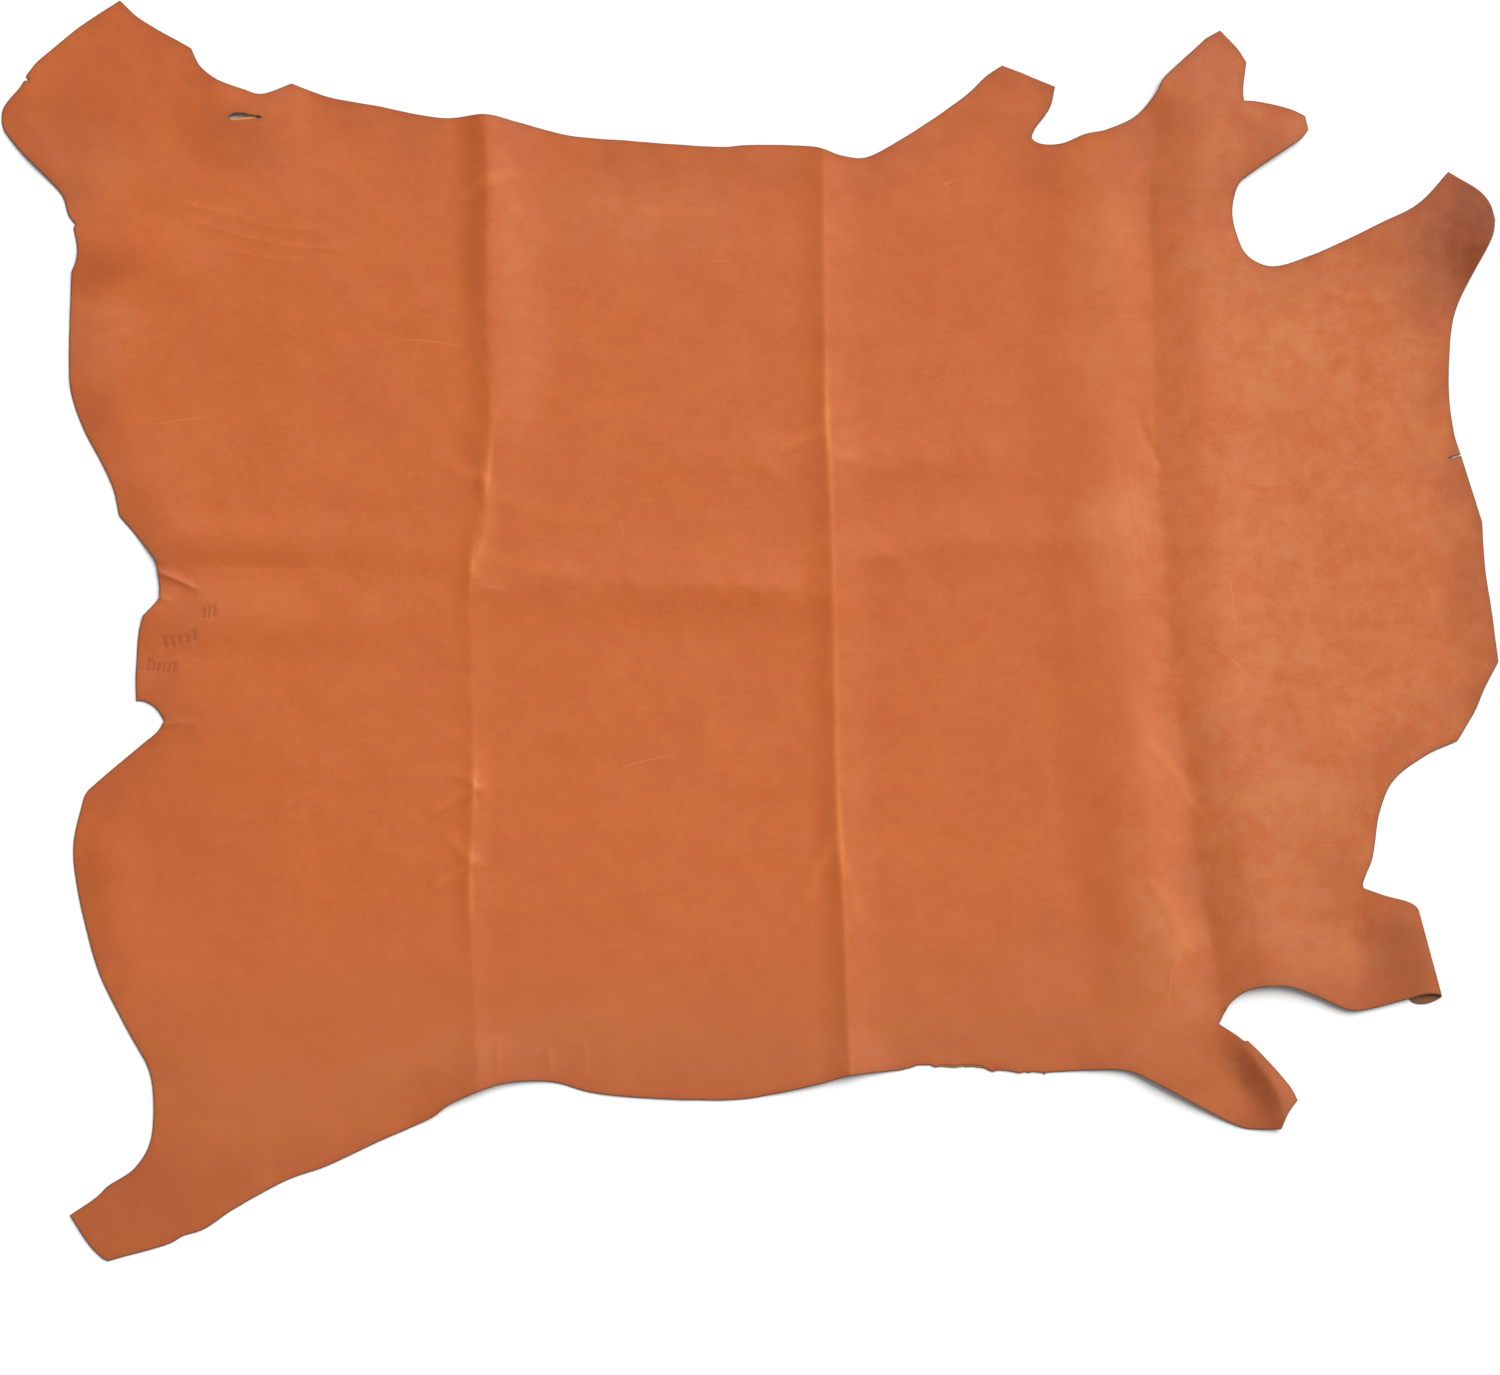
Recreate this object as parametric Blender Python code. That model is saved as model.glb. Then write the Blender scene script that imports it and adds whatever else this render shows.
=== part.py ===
"""Whole tanned cow hide, laid out on a floor: one cut sheet of leather, grain side up.

Lengths are in metres. The origin is on the floor under the middle of the hide, with +X
towards the neck, +Y towards the upper belly edge as it lies, and +Z up. The sheet is worked
out flat first, with its cut edge, hole and slit. Each point of it is then put where it lies:
over the folding creases and lifted edges, and round the end of the lower cheek, which is
folded under.
"""

import math

import bpy
from mathutils import Vector
from mathutils.geometry import delaunay_2d_cdt
from mathutils.kdtree import KDTree

# Leather
THICKNESS = 0.002
LEATHER_COLOUR = (0.578, 0.141, 0.048, 1.0)
LEATHER_ROUGHNESS = 0.55

# End of the lower cheek, folded under along a straight line between these two points
FOLD_HEAD = Vector((1.0643, -0.4513))
FOLD_FOOT = Vector((1.1008, -0.5862))
FOLD_RADIUS = 0.005
FOLD_REACH = 0.15
FOLD_MARGIN = 0.04
FOLD_STEPS = 6
# How far past the fold the flap's edge keeps its closest points
TIGHT_REACH = 0.02

# Worn hole in the upper hind shank: a lens with a high upper side
HOLE_CENTRE = Vector((-0.816, 0.820))
HOLE_LENGTH = 0.038
HOLE_RISE = 0.0055
HOLE_DROP = 0.0035
HOLE_TURN = math.radians(2)
HOLE_POINTS = 16

# Fineness of the mesh
EDGE_STEP = 0.019
TIGHT_STEP = 0.004
ROW_STEP = 0.045
GRID_STEP = 0.066
EDGE_CLEARANCE = 0.011
ROW_CLEARANCE = 0.011
GRID_CLEARANCE = 0.036
SLOPE_STEP = 0.001
MERGE_DISTANCE = 1e-5

# The folded-under end of the lower cheek, as (along the fold from its head, past the fold)
FLAP_EDGE = (
    (-0.0115, 0.0020), (-0.0010, 0.0080), (0.016, 0.019), (0.040, 0.035), (0.072, 0.050),
    (0.104, 0.061), (0.124, 0.063), (0.136, 0.058), (0.142, 0.049), (0.145, 0.035),
    (0.144, 0.021), (0.140, 0.0080), (0.136, 0.0024), (0.132, -0.0070),
)

# The cut edge, once round clockwise as seen from above. Each row is a stretch of it: its
# name, how it runs, and the points that it passes, as (x, y). A stretch begins where the
# row above it ends, in a corner. A smooth one is a curve through its points, a torn one
# goes straight from point to point, and the folded one goes round the flap on its way.
CUT_EDGE = (
    ("upper hind shank, end", "smooth", (
        (-0.976, 0.979), (-0.894, 0.932))),
    ("upper hind shank, belly side", "smooth", (
        (-0.880, 0.904), (-0.854, 0.883), (-0.808, 0.865), (-0.782, 0.858), (-0.733, 0.875))),
    ("upper belly", "smooth", (
        (-0.675, 0.854), (-0.600, 0.840), (-0.490, 0.820), (-0.424, 0.825), (-0.371, 0.813),
        (-0.294, 0.793), (-0.198, 0.784), (-0.042, 0.774), (0.000, 0.777), (0.107, 0.773),
        (0.146, 0.760), (0.184, 0.757), (0.245, 0.788), (0.302, 0.825), (0.352, 0.862),
        (0.379, 0.888), (0.403, 0.904))),
    ("elbow, end", "smooth", (
        (0.432, 0.893), (0.488, 0.870))),
    ("elbow, neck side", "smooth", (
        (0.480, 0.837), (0.455, 0.801), (0.451, 0.788), (0.465, 0.779), (0.498, 0.779),
        (0.536, 0.794), (0.570, 0.801), (0.619, 0.825), (0.650, 0.862), (0.661, 0.883),
        (0.692, 0.913), (0.730, 0.948))),
    ("upper fore shank, tip", "smooth", (
        (0.752, 0.960),)),
    ("upper fore shank, end", "smooth", (
        (0.782, 0.928), (0.794, 0.910))),
    ("upper fore shank, step", "smooth", (
        (0.789, 0.865), (0.790, 0.848))),
    ("upper fore shank, lobe", "smooth", (
        (0.810, 0.847), (0.868, 0.833), (0.888, 0.823))),
    ("upper fore shank, lobe end", "smooth", (
        (0.893, 0.801),)),
    ("upper throat bay", "smooth", (
        (0.882, 0.787), (0.856, 0.769), (0.799, 0.730), (0.782, 0.715), (0.771, 0.672),
        (0.782, 0.623), (0.797, 0.599), (0.834, 0.583), (0.906, 0.604), (1.006, 0.651),
        (1.070, 0.684), (1.117, 0.734))),
    ("upper cheek, end", "smooth", (
        (1.170, 0.701), (1.184, 0.682), (1.191, 0.657))),
    ("neck, above the slit", "smooth", (
        (1.187, 0.632), (1.155, 0.569), (1.130, 0.516), (1.122, 0.481), (1.118, 0.382),
        (1.126, 0.317), (1.1362, 0.2815))),
    ("slit in the neck", "torn", (
        (1.1285, 0.2800), (1.117, 0.2762), (1.1270, 0.2768), (1.1372, 0.2800))),
    ("neck, below the slit", "smooth", (
        (1.161, 0.206), (1.171, 0.174))),
    ("neck, lower half", "smooth", (
        (1.176, 0.099), (1.186, 0.034), (1.197, -0.050))),
    ("neck, lower corner", "smooth", (
        (1.175, -0.092), (1.162, -0.124), (1.132, -0.176))),
    ("lower throat bay", "smooth", (
        (1.082, -0.199), (1.029, -0.240), (1.008, -0.287), (0.995, -0.365), (0.985, -0.390),
        (0.980, -0.407), (0.982, -0.412))),
    ("lower cheek", "folded", (
        (1.017, -0.424), (1.051, -0.433), (1.075, -0.582), (1.051, -0.589), (0.985, -0.606),
        (0.960, -0.607), (0.906, -0.585), (0.875, -0.573), (0.849, -0.568), (0.814, -0.570),
        (0.791, -0.577), (0.768, -0.595), (0.749, -0.628))),
    ("lower fore shank, neck side", "smooth", (
        (0.774, -0.644), (0.789, -0.655))),
    ("lower fore shank, nick", "torn", (
        (0.794, -0.654),)),
    ("lower fore shank, outer side", "smooth", (
        (0.819, -0.678), (0.866, -0.732), (0.876, -0.751))),
    ("lower fore shank, end", "smooth", (
        (0.860, -0.772), (0.849, -0.797))),
    ("lower fore shank, belly side", "smooth", (
        (0.797, -0.797), (0.768, -0.787), (0.726, -0.765), (0.650, -0.724), (0.611, -0.706),
        (0.574, -0.702), (0.474, -0.707))),
    ("lower belly, torn run", "torn", (
        (0.471, -0.710), (0.468, -0.7072), (0.454, -0.706), (0.432, -0.708), (0.411, -0.704),
        (0.398, -0.703), (0.387, -0.705), (0.374, -0.700), (0.355, -0.696), (0.328, -0.699),
        (0.309, -0.697), (0.299, -0.699), (0.288, -0.695), (0.267, -0.695), (0.262, -0.698),
        (0.240, -0.703))),
    ("lower belly", "smooth", (
        (0.157, -0.712), (0.115, -0.724), (0.000, -0.748), (-0.042, -0.751), (-0.160, -0.748),
        (-0.252, -0.739), (-0.317, -0.722), (-0.370, -0.721), (-0.409, -0.728), (-0.482, -0.759),
        (-0.508, -0.778), (-0.600, -0.820), (-0.679, -0.857), (-0.741, -0.879), (-0.825, -0.925),
        (-0.875, -0.958), (-0.906, -0.968), (-0.928, -0.980), (-1.026, -1.008))),
    ("lower hind shank, end", "smooth", (
        (-1.034, -1.005), (-1.054, -0.986), (-1.088, -0.935))),
    ("lower hind shank, tail side", "smooth", (
        (-1.043, -0.904), (-1.028, -0.889), (-0.986, -0.861), (-0.961, -0.822), (-0.954, -0.756),
        (-0.962, -0.701), (-0.994, -0.642), (-1.038, -0.555), (-1.060, -0.484), (-1.079, -0.394),
        (-1.082, -0.342), (-1.068, -0.276), (-1.062, -0.260), (-1.045, -0.243), (-0.970, -0.180),
        (-0.947, -0.160), (-0.937, -0.144))),
    ("tail, lower side", "smooth", (
        (-0.946, -0.129), (-0.955, -0.120), (-0.970, -0.113), (-0.982, -0.112))),
    ("tail, end", "smooth", (
        (-0.982, -0.065), (-0.977, 0.000), (-0.971, 0.024))),
    ("tail, upper side", "smooth", (
        (-0.957, 0.038), (-0.944, 0.053))),
    ("tail, root", "smooth", (
        (-0.945, 0.076), (-0.951, 0.111), (-0.962, 0.128), (-1.009, 0.184))),
    ("upper rump", "smooth", (
        (-1.019, 0.229), (-1.039, 0.272), (-1.068, 0.327), (-1.086, 0.382), (-1.089, 0.459),
        (-1.085, 0.574))),
    ("upper rump, nick", "smooth", (
        (-1.078, 0.592), (-1.076, 0.612), (-1.082, 0.644))),
    ("upper hind shank, step", "torn", (
        (-1.079, 0.650),)),
    ("upper hind shank, tail side", "smooth", (
        (-1.089, 0.663), (-1.098, 0.692), (-1.106, 0.704), (-1.162, 0.762), (-1.181, 0.784),
        (-1.194, 0.803), (-1.197, 0.822), (-1.193, 0.839), (-1.168, 0.869), (-1.161, 0.880))),
    ("upper hind shank, notch", "torn", (
        (-1.153, 0.880), (-1.158, 0.888))),
    ("upper hind shank, outer side", "smooth", (
        (-1.141, 0.909), (-1.120, 0.927), (-1.072, 0.966), (-1.008, 1.008))),
)

# Points of the lower cheek's row that come before the flap
CHEEK_POINTS_BEFORE_FLAP = 2

# Creases that stand up as ridges: name, height, spread to each side, and the crest's points
RIDGES = (
    ("hind fold", 0.012, 0.060, (
        (-0.430, 0.822), (-0.426, 0.713), (-0.432, 0.529), (-0.435, 0.436), (-0.443, 0.332),
        (-0.427, 0.236), (-0.438, 0.160), (-0.446, 0.099), (-0.442, -0.079), (-0.440, -0.256),
        (-0.446, -0.375), (-0.442, -0.527), (-0.432, -0.735))),
    ("middle fold", 0.009, 0.060, (
        (0.118, 0.772), (0.122, 0.665), (0.122, 0.462), (0.123, 0.305), (0.130, 0.192),
        (0.134, 0.038), (0.136, -0.111), (0.139, -0.264), (0.146, -0.356), (0.154, -0.532),
        (0.160, -0.711))),
    ("cross fold, hind to middle", 0.004, 0.050, (
        (-0.430, 0.064), (-0.336, 0.073), (-0.179, 0.065), (0.000, 0.065), (0.122, 0.052))),
    ("cross fold, middle to neck", 0.004, 0.050, (
        (0.140, 0.110), (0.208, 0.123), (0.384, 0.145), (0.560, 0.148))),
    ("side fold, upper", 0.004, 0.022, (
        (-0.442, -0.250), (-0.500, -0.278))),
    ("side fold, lower", 0.004, 0.022, (
        (-0.446, -0.370), (-0.497, -0.396))),
    ("tail root fold", 0.004, 0.013, (
        (-0.952, 0.094), (-0.923, 0.085), (-0.906, 0.077), (-0.882, 0.065))),
    ("tail root pinch", 0.003, 0.010, (
        (-0.942, 0.053), (-0.926, 0.046))),
    ("tail pucker", 0.003, 0.012, (
        (-0.936, -0.150), (-0.910, -0.147), (-0.888, -0.150))),
)

# Creases that sink to the floor between two raised shoulders: name, the shoulders' height, how
# far they and their feet lie from the line, and the line's points
TROUGHS = (
    ("neck fold", 0.009, 0.052, 0.150, (
        (0.648, 0.801), (0.637, 0.704), (0.640, 0.593), (0.648, 0.459), (0.654, 0.275),
        (0.662, 0.177), (0.666, 0.049), (0.675, -0.095), (0.696, -0.221), (0.710, -0.340),
        (0.739, -0.455), (0.755, -0.567))),
    ("rump cross fold", 0.003, 0.060, 0.120, (
        (-0.905, 0.082), (-0.820, 0.080), (-0.704, 0.078), (-0.610, 0.076), (-0.500, 0.070))),
)

# Where the sheet stands off the floor in a soft swell, mostly along its edge: name, middle
# (x, y), half length, half width, turn of its length from +X in degrees, height
SWELLS = (
    ("lower belly by the fore shank", (0.650, -0.745), 0.170, 0.150, -27, 0.013),
    ("lower belly, hind part", (-0.424, -0.732), 0.125, 0.090, 19, 0.009),
    ("lower belly under the middle fold", (0.136, -0.716), 0.120, 0.090, 8, 0.007),
    ("brisket bay", (0.880, -0.590), 0.180, 0.150, 5, 0.011),
    ("upper fore shank lobe", (0.840, 0.761), 0.100, 0.058, 37, 0.009),
    ("upper hind shank, tail side", (-1.152, 0.753), 0.085, 0.060, -49, 0.004),
    ("upper cheek", (1.184, 0.617), 0.075, 0.058, 68, 0.010),
    ("lower fore shank", (0.861, -0.727), 0.085, 0.065, -50, 0.012),
    ("upper rump", (-0.960, 0.590), 0.150, 0.085, 0, 0.005),
    ("lower rump", (-1.016, -0.383), 0.170, 0.065, 90, 0.005),
)

# Rows of mesh points beside a ridge and beside a trough, as parts of their spread
RIDGE_ROWS = (0.28, 0.72)
TROUGH_ROWS = (0.16, 0.35, 0.65)

FOLD_ALONG = (FOLD_FOOT - FOLD_HEAD).normalized()
FOLD_PAST = Vector((-FOLD_ALONG.y, FOLD_ALONG.x))
FOLD_LENGTH = (FOLD_FOOT - FOLD_HEAD).length


def clear_scene():
    """Start from an empty scene."""
    for obj in list(bpy.data.objects):
        bpy.data.objects.remove(obj)


def span_point(a, b, c, d, part):
    """Point at part of the way from b to c on the smooth curve through a, b, c and d."""
    before = (b - a).length ** 0.5
    across = (c - b).length ** 0.5
    beyond = (d - c).length ** 0.5
    leave_b = across * ((b - a) / before - (c - a) / (before + across)) + (c - b)
    reach_c = across * ((d - c) / beyond - (d - b) / (across + beyond)) + (c - b)
    square = part * part
    cube = square * part
    near = (2 * cube - 3 * square + 1) * b + (cube - 2 * square + part) * leave_b
    far = (3 * square - 2 * cube) * c + (cube - square) * reach_c
    return near + far


def smooth_curve(points, step):
    """Points at most about step apart on the smooth curve through points."""
    knots = [Vector(point) for point in points]
    knots = [2 * knots[0] - knots[1], *knots, 2 * knots[-1] - knots[-2]]
    curve = []
    for a, b, c, d in zip(knots, knots[1:], knots[2:], knots[3:]):
        pieces = math.ceil((c - b).length / step)
        curve += [span_point(a, b, c, d, i / pieces) for i in range(pieces)]
    return curve + [knots[-2]]


def fold_axes(point):
    """A flat point as (along the fold of the lower cheek, past the fold)."""
    offset = point - FOLD_HEAD
    return offset.dot(FOLD_ALONG), offset.dot(FOLD_PAST)


def from_fold_axes(along, past):
    """The flat point that lies so far along the fold and past it."""
    return FOLD_HEAD + along * FOLD_ALONG + past * FOLD_PAST


def past_fold(point):
    """Whether a flat point belongs to the end that is folded under."""
    along, past = fold_axes(point)
    return past > 0 and -FOLD_MARGIN < along < FOLD_LENGTH + FOLD_MARGIN


def cheek_edge(start, points):
    """Edge of the lower cheek, fine where it goes round the flap."""
    before = points[:CHEEK_POINTS_BEFORE_FLAP]
    after = points[CHEEK_POINTS_BEFORE_FLAP:]
    flap = [from_fold_axes(*row) for row in FLAP_EDGE]
    edge = []
    for point in smooth_curve([start, *before, *flap, *after], TIGHT_STEP)[1:]:
        tight = past_fold(point) and fold_axes(point)[1] < TIGHT_REACH
        last = edge[-1] if edge else Vector(start)
        if tight or (point - last).length > EDGE_STEP - TIGHT_STEP:
            edge.append(point)
    edge[-1] = Vector(points[-1])
    return edge


def cut_edge():
    """The whole cut edge in the flat sheet, once round, each point once."""
    loop = []
    corner = CUT_EDGE[-1][2][-1]
    for name, run, points in CUT_EDGE:
        if run == "smooth":
            loop += smooth_curve([corner, *points], EDGE_STEP)[1:]
        elif run == "torn":
            loop += [Vector(point) for point in points]
        else:
            loop += cheek_edge(corner, points)
        corner = points[-1]
    return loop


def hole_edge():
    """Edge of the worn hole: two shallow bows that meet in points."""
    loop = []
    cos_turn = math.cos(HOLE_TURN)
    sin_turn = math.sin(HOLE_TURN)
    for i in range(HOLE_POINTS):
        angle = 2 * math.pi * i / HOLE_POINTS
        depth = HOLE_RISE if angle < math.pi else HOLE_DROP
        x = HOLE_LENGTH / 2 * math.cos(angle)
        y = depth * math.sin(angle) * abs(math.sin(angle))
        loop.append(HOLE_CENTRE + Vector((x * cos_turn - y * sin_turn, x * sin_turn + y * cos_turn)))
    return loop


def inside(point, loop):
    """Whether a point is inside a closed loop."""
    result = False
    for a, b in zip(loop, loop[1:] + loop[:1]):
        if (a.y > point.y) != (b.y > point.y):
            crossing = a.x + (b.x - a.x) * (point.y - a.y) / (b.y - a.y)
            if crossing > point.x:
                result = not result
    return result


def distance_to_line(point, line):
    """Distance from a point to a line of several points."""
    nearest = math.inf
    for a, b in zip(line, line[1:]):
        side = b - a
        part = (point - a).dot(side) / side.length_squared
        part = min(max(part, 0.0), 1.0)
        nearest = min(nearest, (point - a - part * side).length)
    return nearest


def smooth_fall(part):
    """1 at 0, falling softly to 0 at 1."""
    part = min(max(part, 0.0), 1.0)
    return 1 - part * part * (3 - 2 * part)


RIDGE_LINES = [
    (height, spread, smooth_curve(points, ROW_STEP)) for name, height, spread, points in RIDGES
]
TROUGH_LINES = [
    (height, shoulder, foot, smooth_curve(points, ROW_STEP))
    for name, height, shoulder, foot, points in TROUGHS
]


def ridge_lift(point):
    """Height of the standing creases at a flat point: a crest with sides that flatten out."""
    lift = 0.0
    for height, spread, line in RIDGE_LINES:
        part = distance_to_line(point, line) / spread
        if part < 1:
            lift += height * (1 - part) ** 2
    return lift


def trough_lift(point):
    """Height beside the sunken creases: none on a line, most at its two shoulders."""
    lift = 0.0
    for height, shoulder, foot, line in TROUGH_LINES:
        distance = distance_to_line(point, line)
        if distance < shoulder:
            lift += height * (1 - (1 - distance / shoulder) ** 2)
        else:
            lift += height * smooth_fall((distance - shoulder) / (foot - shoulder))
    return lift


def swell_lift(point):
    """Height of the soft swells at a flat point."""
    lift = 0.0
    for name, middle, half_length, half_width, turn, height in SWELLS:
        offset = point - Vector(middle)
        angle = math.radians(turn)
        along = offset.x * math.cos(angle) + offset.y * math.sin(angle)
        across = offset.y * math.cos(angle) - offset.x * math.sin(angle)
        reach = (along / half_length) ** 2 + (across / half_width) ** 2
        if reach < 1:
            lift += height * (1 - reach) ** 2
    return lift


def sheet_lift(point):
    """Height of the sheet's underside over the floor at a flat point short of the fold."""
    near_fold = smooth_fall(distance_to_line(point, (FOLD_HEAD, FOLD_FOOT)) / FOLD_REACH)
    elsewhere = ridge_lift(point) + trough_lift(point) + swell_lift(point)
    return 2 * FOLD_RADIUS * near_fold + elsewhere * (1 - near_fold)


def lie_round_fold(point):
    """Middle of the sheet and its grain side's direction, past the fold."""
    along, past = fold_axes(point)
    angle = min(past / FOLD_RADIUS, math.pi)
    under = max(past - math.pi * FOLD_RADIUS, 0.0)
    plan = from_fold_axes(along, FOLD_RADIUS * math.sin(angle) - under)
    height = THICKNESS / 2 + FOLD_RADIUS * (1 + math.cos(angle))
    grain = FOLD_PAST.to_3d() * math.sin(angle) + Vector((0, 0, math.cos(angle)))
    return Vector((plan.x, plan.y, height)), grain


def lie_on_floor(point):
    """Middle of the sheet and its grain side's direction, short of the fold."""
    step_x = Vector((SLOPE_STEP, 0))
    step_y = Vector((0, SLOPE_STEP))
    slope_x = (sheet_lift(point + step_x) - sheet_lift(point - step_x)) / (2 * SLOPE_STEP)
    slope_y = (sheet_lift(point + step_y) - sheet_lift(point - step_y)) / (2 * SLOPE_STEP)
    grain = Vector((-slope_x, -slope_y, 1)).normalized()
    return Vector((point.x, point.y, sheet_lift(point) + THICKNESS / 2)), grain


class FlatPattern:
    """Points and lines of the flat sheet, ready to be cut into triangles."""

    def __init__(self):
        self.points = []
        self.lines = []

    def add_line(self, points, closed=False):
        """Add points in a row, with the mesh's edges to follow the row."""
        first = len(self.points)
        self.points += points
        last = len(self.points) - 1
        self.lines += [(i, i + 1) for i in range(first, last)]
        if closed:
            self.lines.append((last, first))

    def clear_of(self, candidates, gap):
        """The candidates that lie at least gap from every point so far."""
        tree = KDTree(len(self.points))
        for i, point in enumerate(self.points):
            tree.insert(point.to_3d(), i)
        tree.balance()
        return [point for point in candidates if tree.find(point.to_3d())[2] >= gap]


def beside(line, offset):
    """A row of points that keeps to one side of a line."""
    row = []
    for before, point, after in zip(line, line[1:], line[2:]):
        side = (after - before).normalized()
        row.append(point + offset * Vector((-side.y, side.x)))
    return row


def add_fold_rows(pattern, edge):
    """Rows along the fold of the cheek, close enough for a round bend."""
    bend = math.pi * FOLD_RADIUS
    for step in range(FOLD_STEPS + 1):
        past = bend * step / FOLD_STEPS
        count = math.ceil((FOLD_LENGTH + 2 * FOLD_MARGIN) / EDGE_STEP)
        row = []
        for i in range(count + 1):
            along = -FOLD_MARGIN + (FOLD_LENGTH + 2 * FOLD_MARGIN) * i / count
            row.append(from_fold_axes(along, past))
        row = [point for point in row if inside(point, edge)]
        pattern.add_line(pattern.clear_of(row, TIGHT_STEP))


def add_crease(pattern, edge, line, offsets):
    """A crease's own line, and rows of points at offsets on both sides of it."""
    crest = [point for point in line if inside(point, edge)]
    pattern.add_line(pattern.clear_of(crest, EDGE_CLEARANCE))
    for offset in offsets:
        for signed in (offset, -offset):
            row = [point for point in beside(line, signed) if inside(point, edge)]
            pattern.points += pattern.clear_of(row, ROW_CLEARANCE)


def add_grid(pattern, edge):
    """Staggered rows of points over the rest of the sheet."""
    xs = [point.x for point in edge]
    ys = [point.y for point in edge]
    row_step = GRID_STEP * math.sqrt(3) / 2
    grid = []
    for row in range(math.ceil((max(ys) - min(ys)) / row_step)):
        shift = GRID_STEP / 2 * (row % 2)
        for column in range(math.ceil((max(xs) - min(xs)) / GRID_STEP)):
            grid.append(Vector((min(xs) + shift + column * GRID_STEP, min(ys) + row * row_step)))
    grid = [point for point in grid if inside(point, edge)]
    pattern.points += pattern.clear_of(grid, GRID_CLEARANCE)


def flat_triangles():
    """The flat sheet as points and triangles, with the hole left open."""
    edge = cut_edge()
    hole = hole_edge()
    pattern = FlatPattern()
    pattern.add_line(edge, closed=True)
    pattern.add_line(hole, closed=True)
    add_fold_rows(pattern, edge)
    for height, spread, line in RIDGE_LINES:
        add_crease(pattern, edge, line, [spread * part for part in RIDGE_ROWS])
    for height, shoulder, foot, line in TROUGH_LINES:
        add_crease(pattern, edge, line, [foot * part for part in TROUGH_ROWS])
    add_grid(pattern, edge)
    points, lines, faces = delaunay_2d_cdt(
        pattern.points, pattern.lines, [], 1, MERGE_DISTANCE)[:3]
    kept = []
    for face in faces:
        middle = sum((points[i] for i in face), Vector((0, 0))) / len(face)
        if not inside(middle, hole):
            kept.append(tuple(face))
    return points, kept


def closed_sheet(points, faces):
    """Vertices and faces of the sheet as it lies: grain side, flesh side and cut edge."""
    placed = []
    for point in points:
        placed.append(lie_round_fold(point) if past_fold(point) else lie_on_floor(point))
    half = THICKNESS / 2
    grain_side = [middle + grain * half for middle, grain in placed]
    flesh_side = [middle - grain * half for middle, grain in placed]
    count = len(placed)
    triangles = list(faces)
    triangles += [tuple(i + count for i in reversed(face)) for face in faces]
    directed = {(a, b) for face in faces for a, b in zip(face, face[1:] + face[:1])}
    for a, b in sorted(directed):
        if (b, a) not in directed:
            triangles.append((b, a, a + count))
            triangles.append((b, a + count, b + count))
    return grain_side + flesh_side, triangles


def leather_material():
    """Tan leather with a soft shine."""
    material = bpy.data.materials.new("leather")
    material.use_nodes = True
    shader = material.node_tree.nodes["Principled BSDF"]
    shader.inputs["Base Color"].default_value = LEATHER_COLOUR
    shader.inputs["Roughness"].default_value = LEATHER_ROUGHNESS
    shader.inputs["Metallic"].default_value = 0.0
    return material


def add_hide():
    """The hide, one closed solid."""
    vertices, triangles = closed_sheet(*flat_triangles())
    mesh = bpy.data.meshes.new("hide")
    mesh.from_pydata(vertices, [], triangles)
    mesh.validate()
    mesh.update()
    mesh.materials.append(leather_material())
    hide = bpy.data.objects.new("hide", mesh)
    bpy.context.scene.collection.objects.link(hide)


clear_scene()
add_hide()
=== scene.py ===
"""The looks of a whole tanned cow hide, laid out on a floor with its grain side up.

Lengths are in metres, in the frame's own axes: +X towards the neck, +Y towards the upper belly
edge, +Z up, with the floor at 0. The sheet is first worked out flat, with its cut edge, hole,
slit and torn run. Each point of it is then put where it lies: over the folding creases and
lifted edges, and round the end of the lower cheek, which is folded under. What the leather
has gone through, such as pulled-up grain on a crease or dust on a flank, is worked out for
each point as well, with painted shade where slopes and lifted edges turn from the light, and
the materials read it as attributes.
"""

import math

import bpy
import numpy as np
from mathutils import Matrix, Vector, noise
from mathutils.geometry import delaunay_2d_cdt
from mathutils.kdtree import KDTree


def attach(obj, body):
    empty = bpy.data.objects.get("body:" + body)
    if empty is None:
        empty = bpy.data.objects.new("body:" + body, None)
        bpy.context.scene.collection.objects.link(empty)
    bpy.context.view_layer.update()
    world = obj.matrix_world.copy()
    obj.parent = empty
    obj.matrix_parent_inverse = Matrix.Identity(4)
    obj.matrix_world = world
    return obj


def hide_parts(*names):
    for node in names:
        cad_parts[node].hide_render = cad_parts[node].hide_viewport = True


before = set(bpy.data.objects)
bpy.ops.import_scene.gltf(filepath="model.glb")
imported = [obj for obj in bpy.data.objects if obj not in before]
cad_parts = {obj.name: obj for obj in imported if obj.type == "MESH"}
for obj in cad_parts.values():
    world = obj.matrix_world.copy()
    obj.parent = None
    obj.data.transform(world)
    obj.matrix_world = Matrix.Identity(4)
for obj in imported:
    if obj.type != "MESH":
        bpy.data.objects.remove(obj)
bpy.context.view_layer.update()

# Leather
THICKNESS = 0.002
HALF = THICKNESS / 2

# End of the lower cheek, folded under along a straight line between these two points
FOLD_HEAD = np.array((1.0643, -0.4513))
FOLD_FOOT = np.array((1.1008, -0.5862))
FOLD_RADIUS = 0.005
FOLD_REACH = 0.15
FOLD_MARGIN = 0.04
FOLD_STEPS = 12

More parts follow.
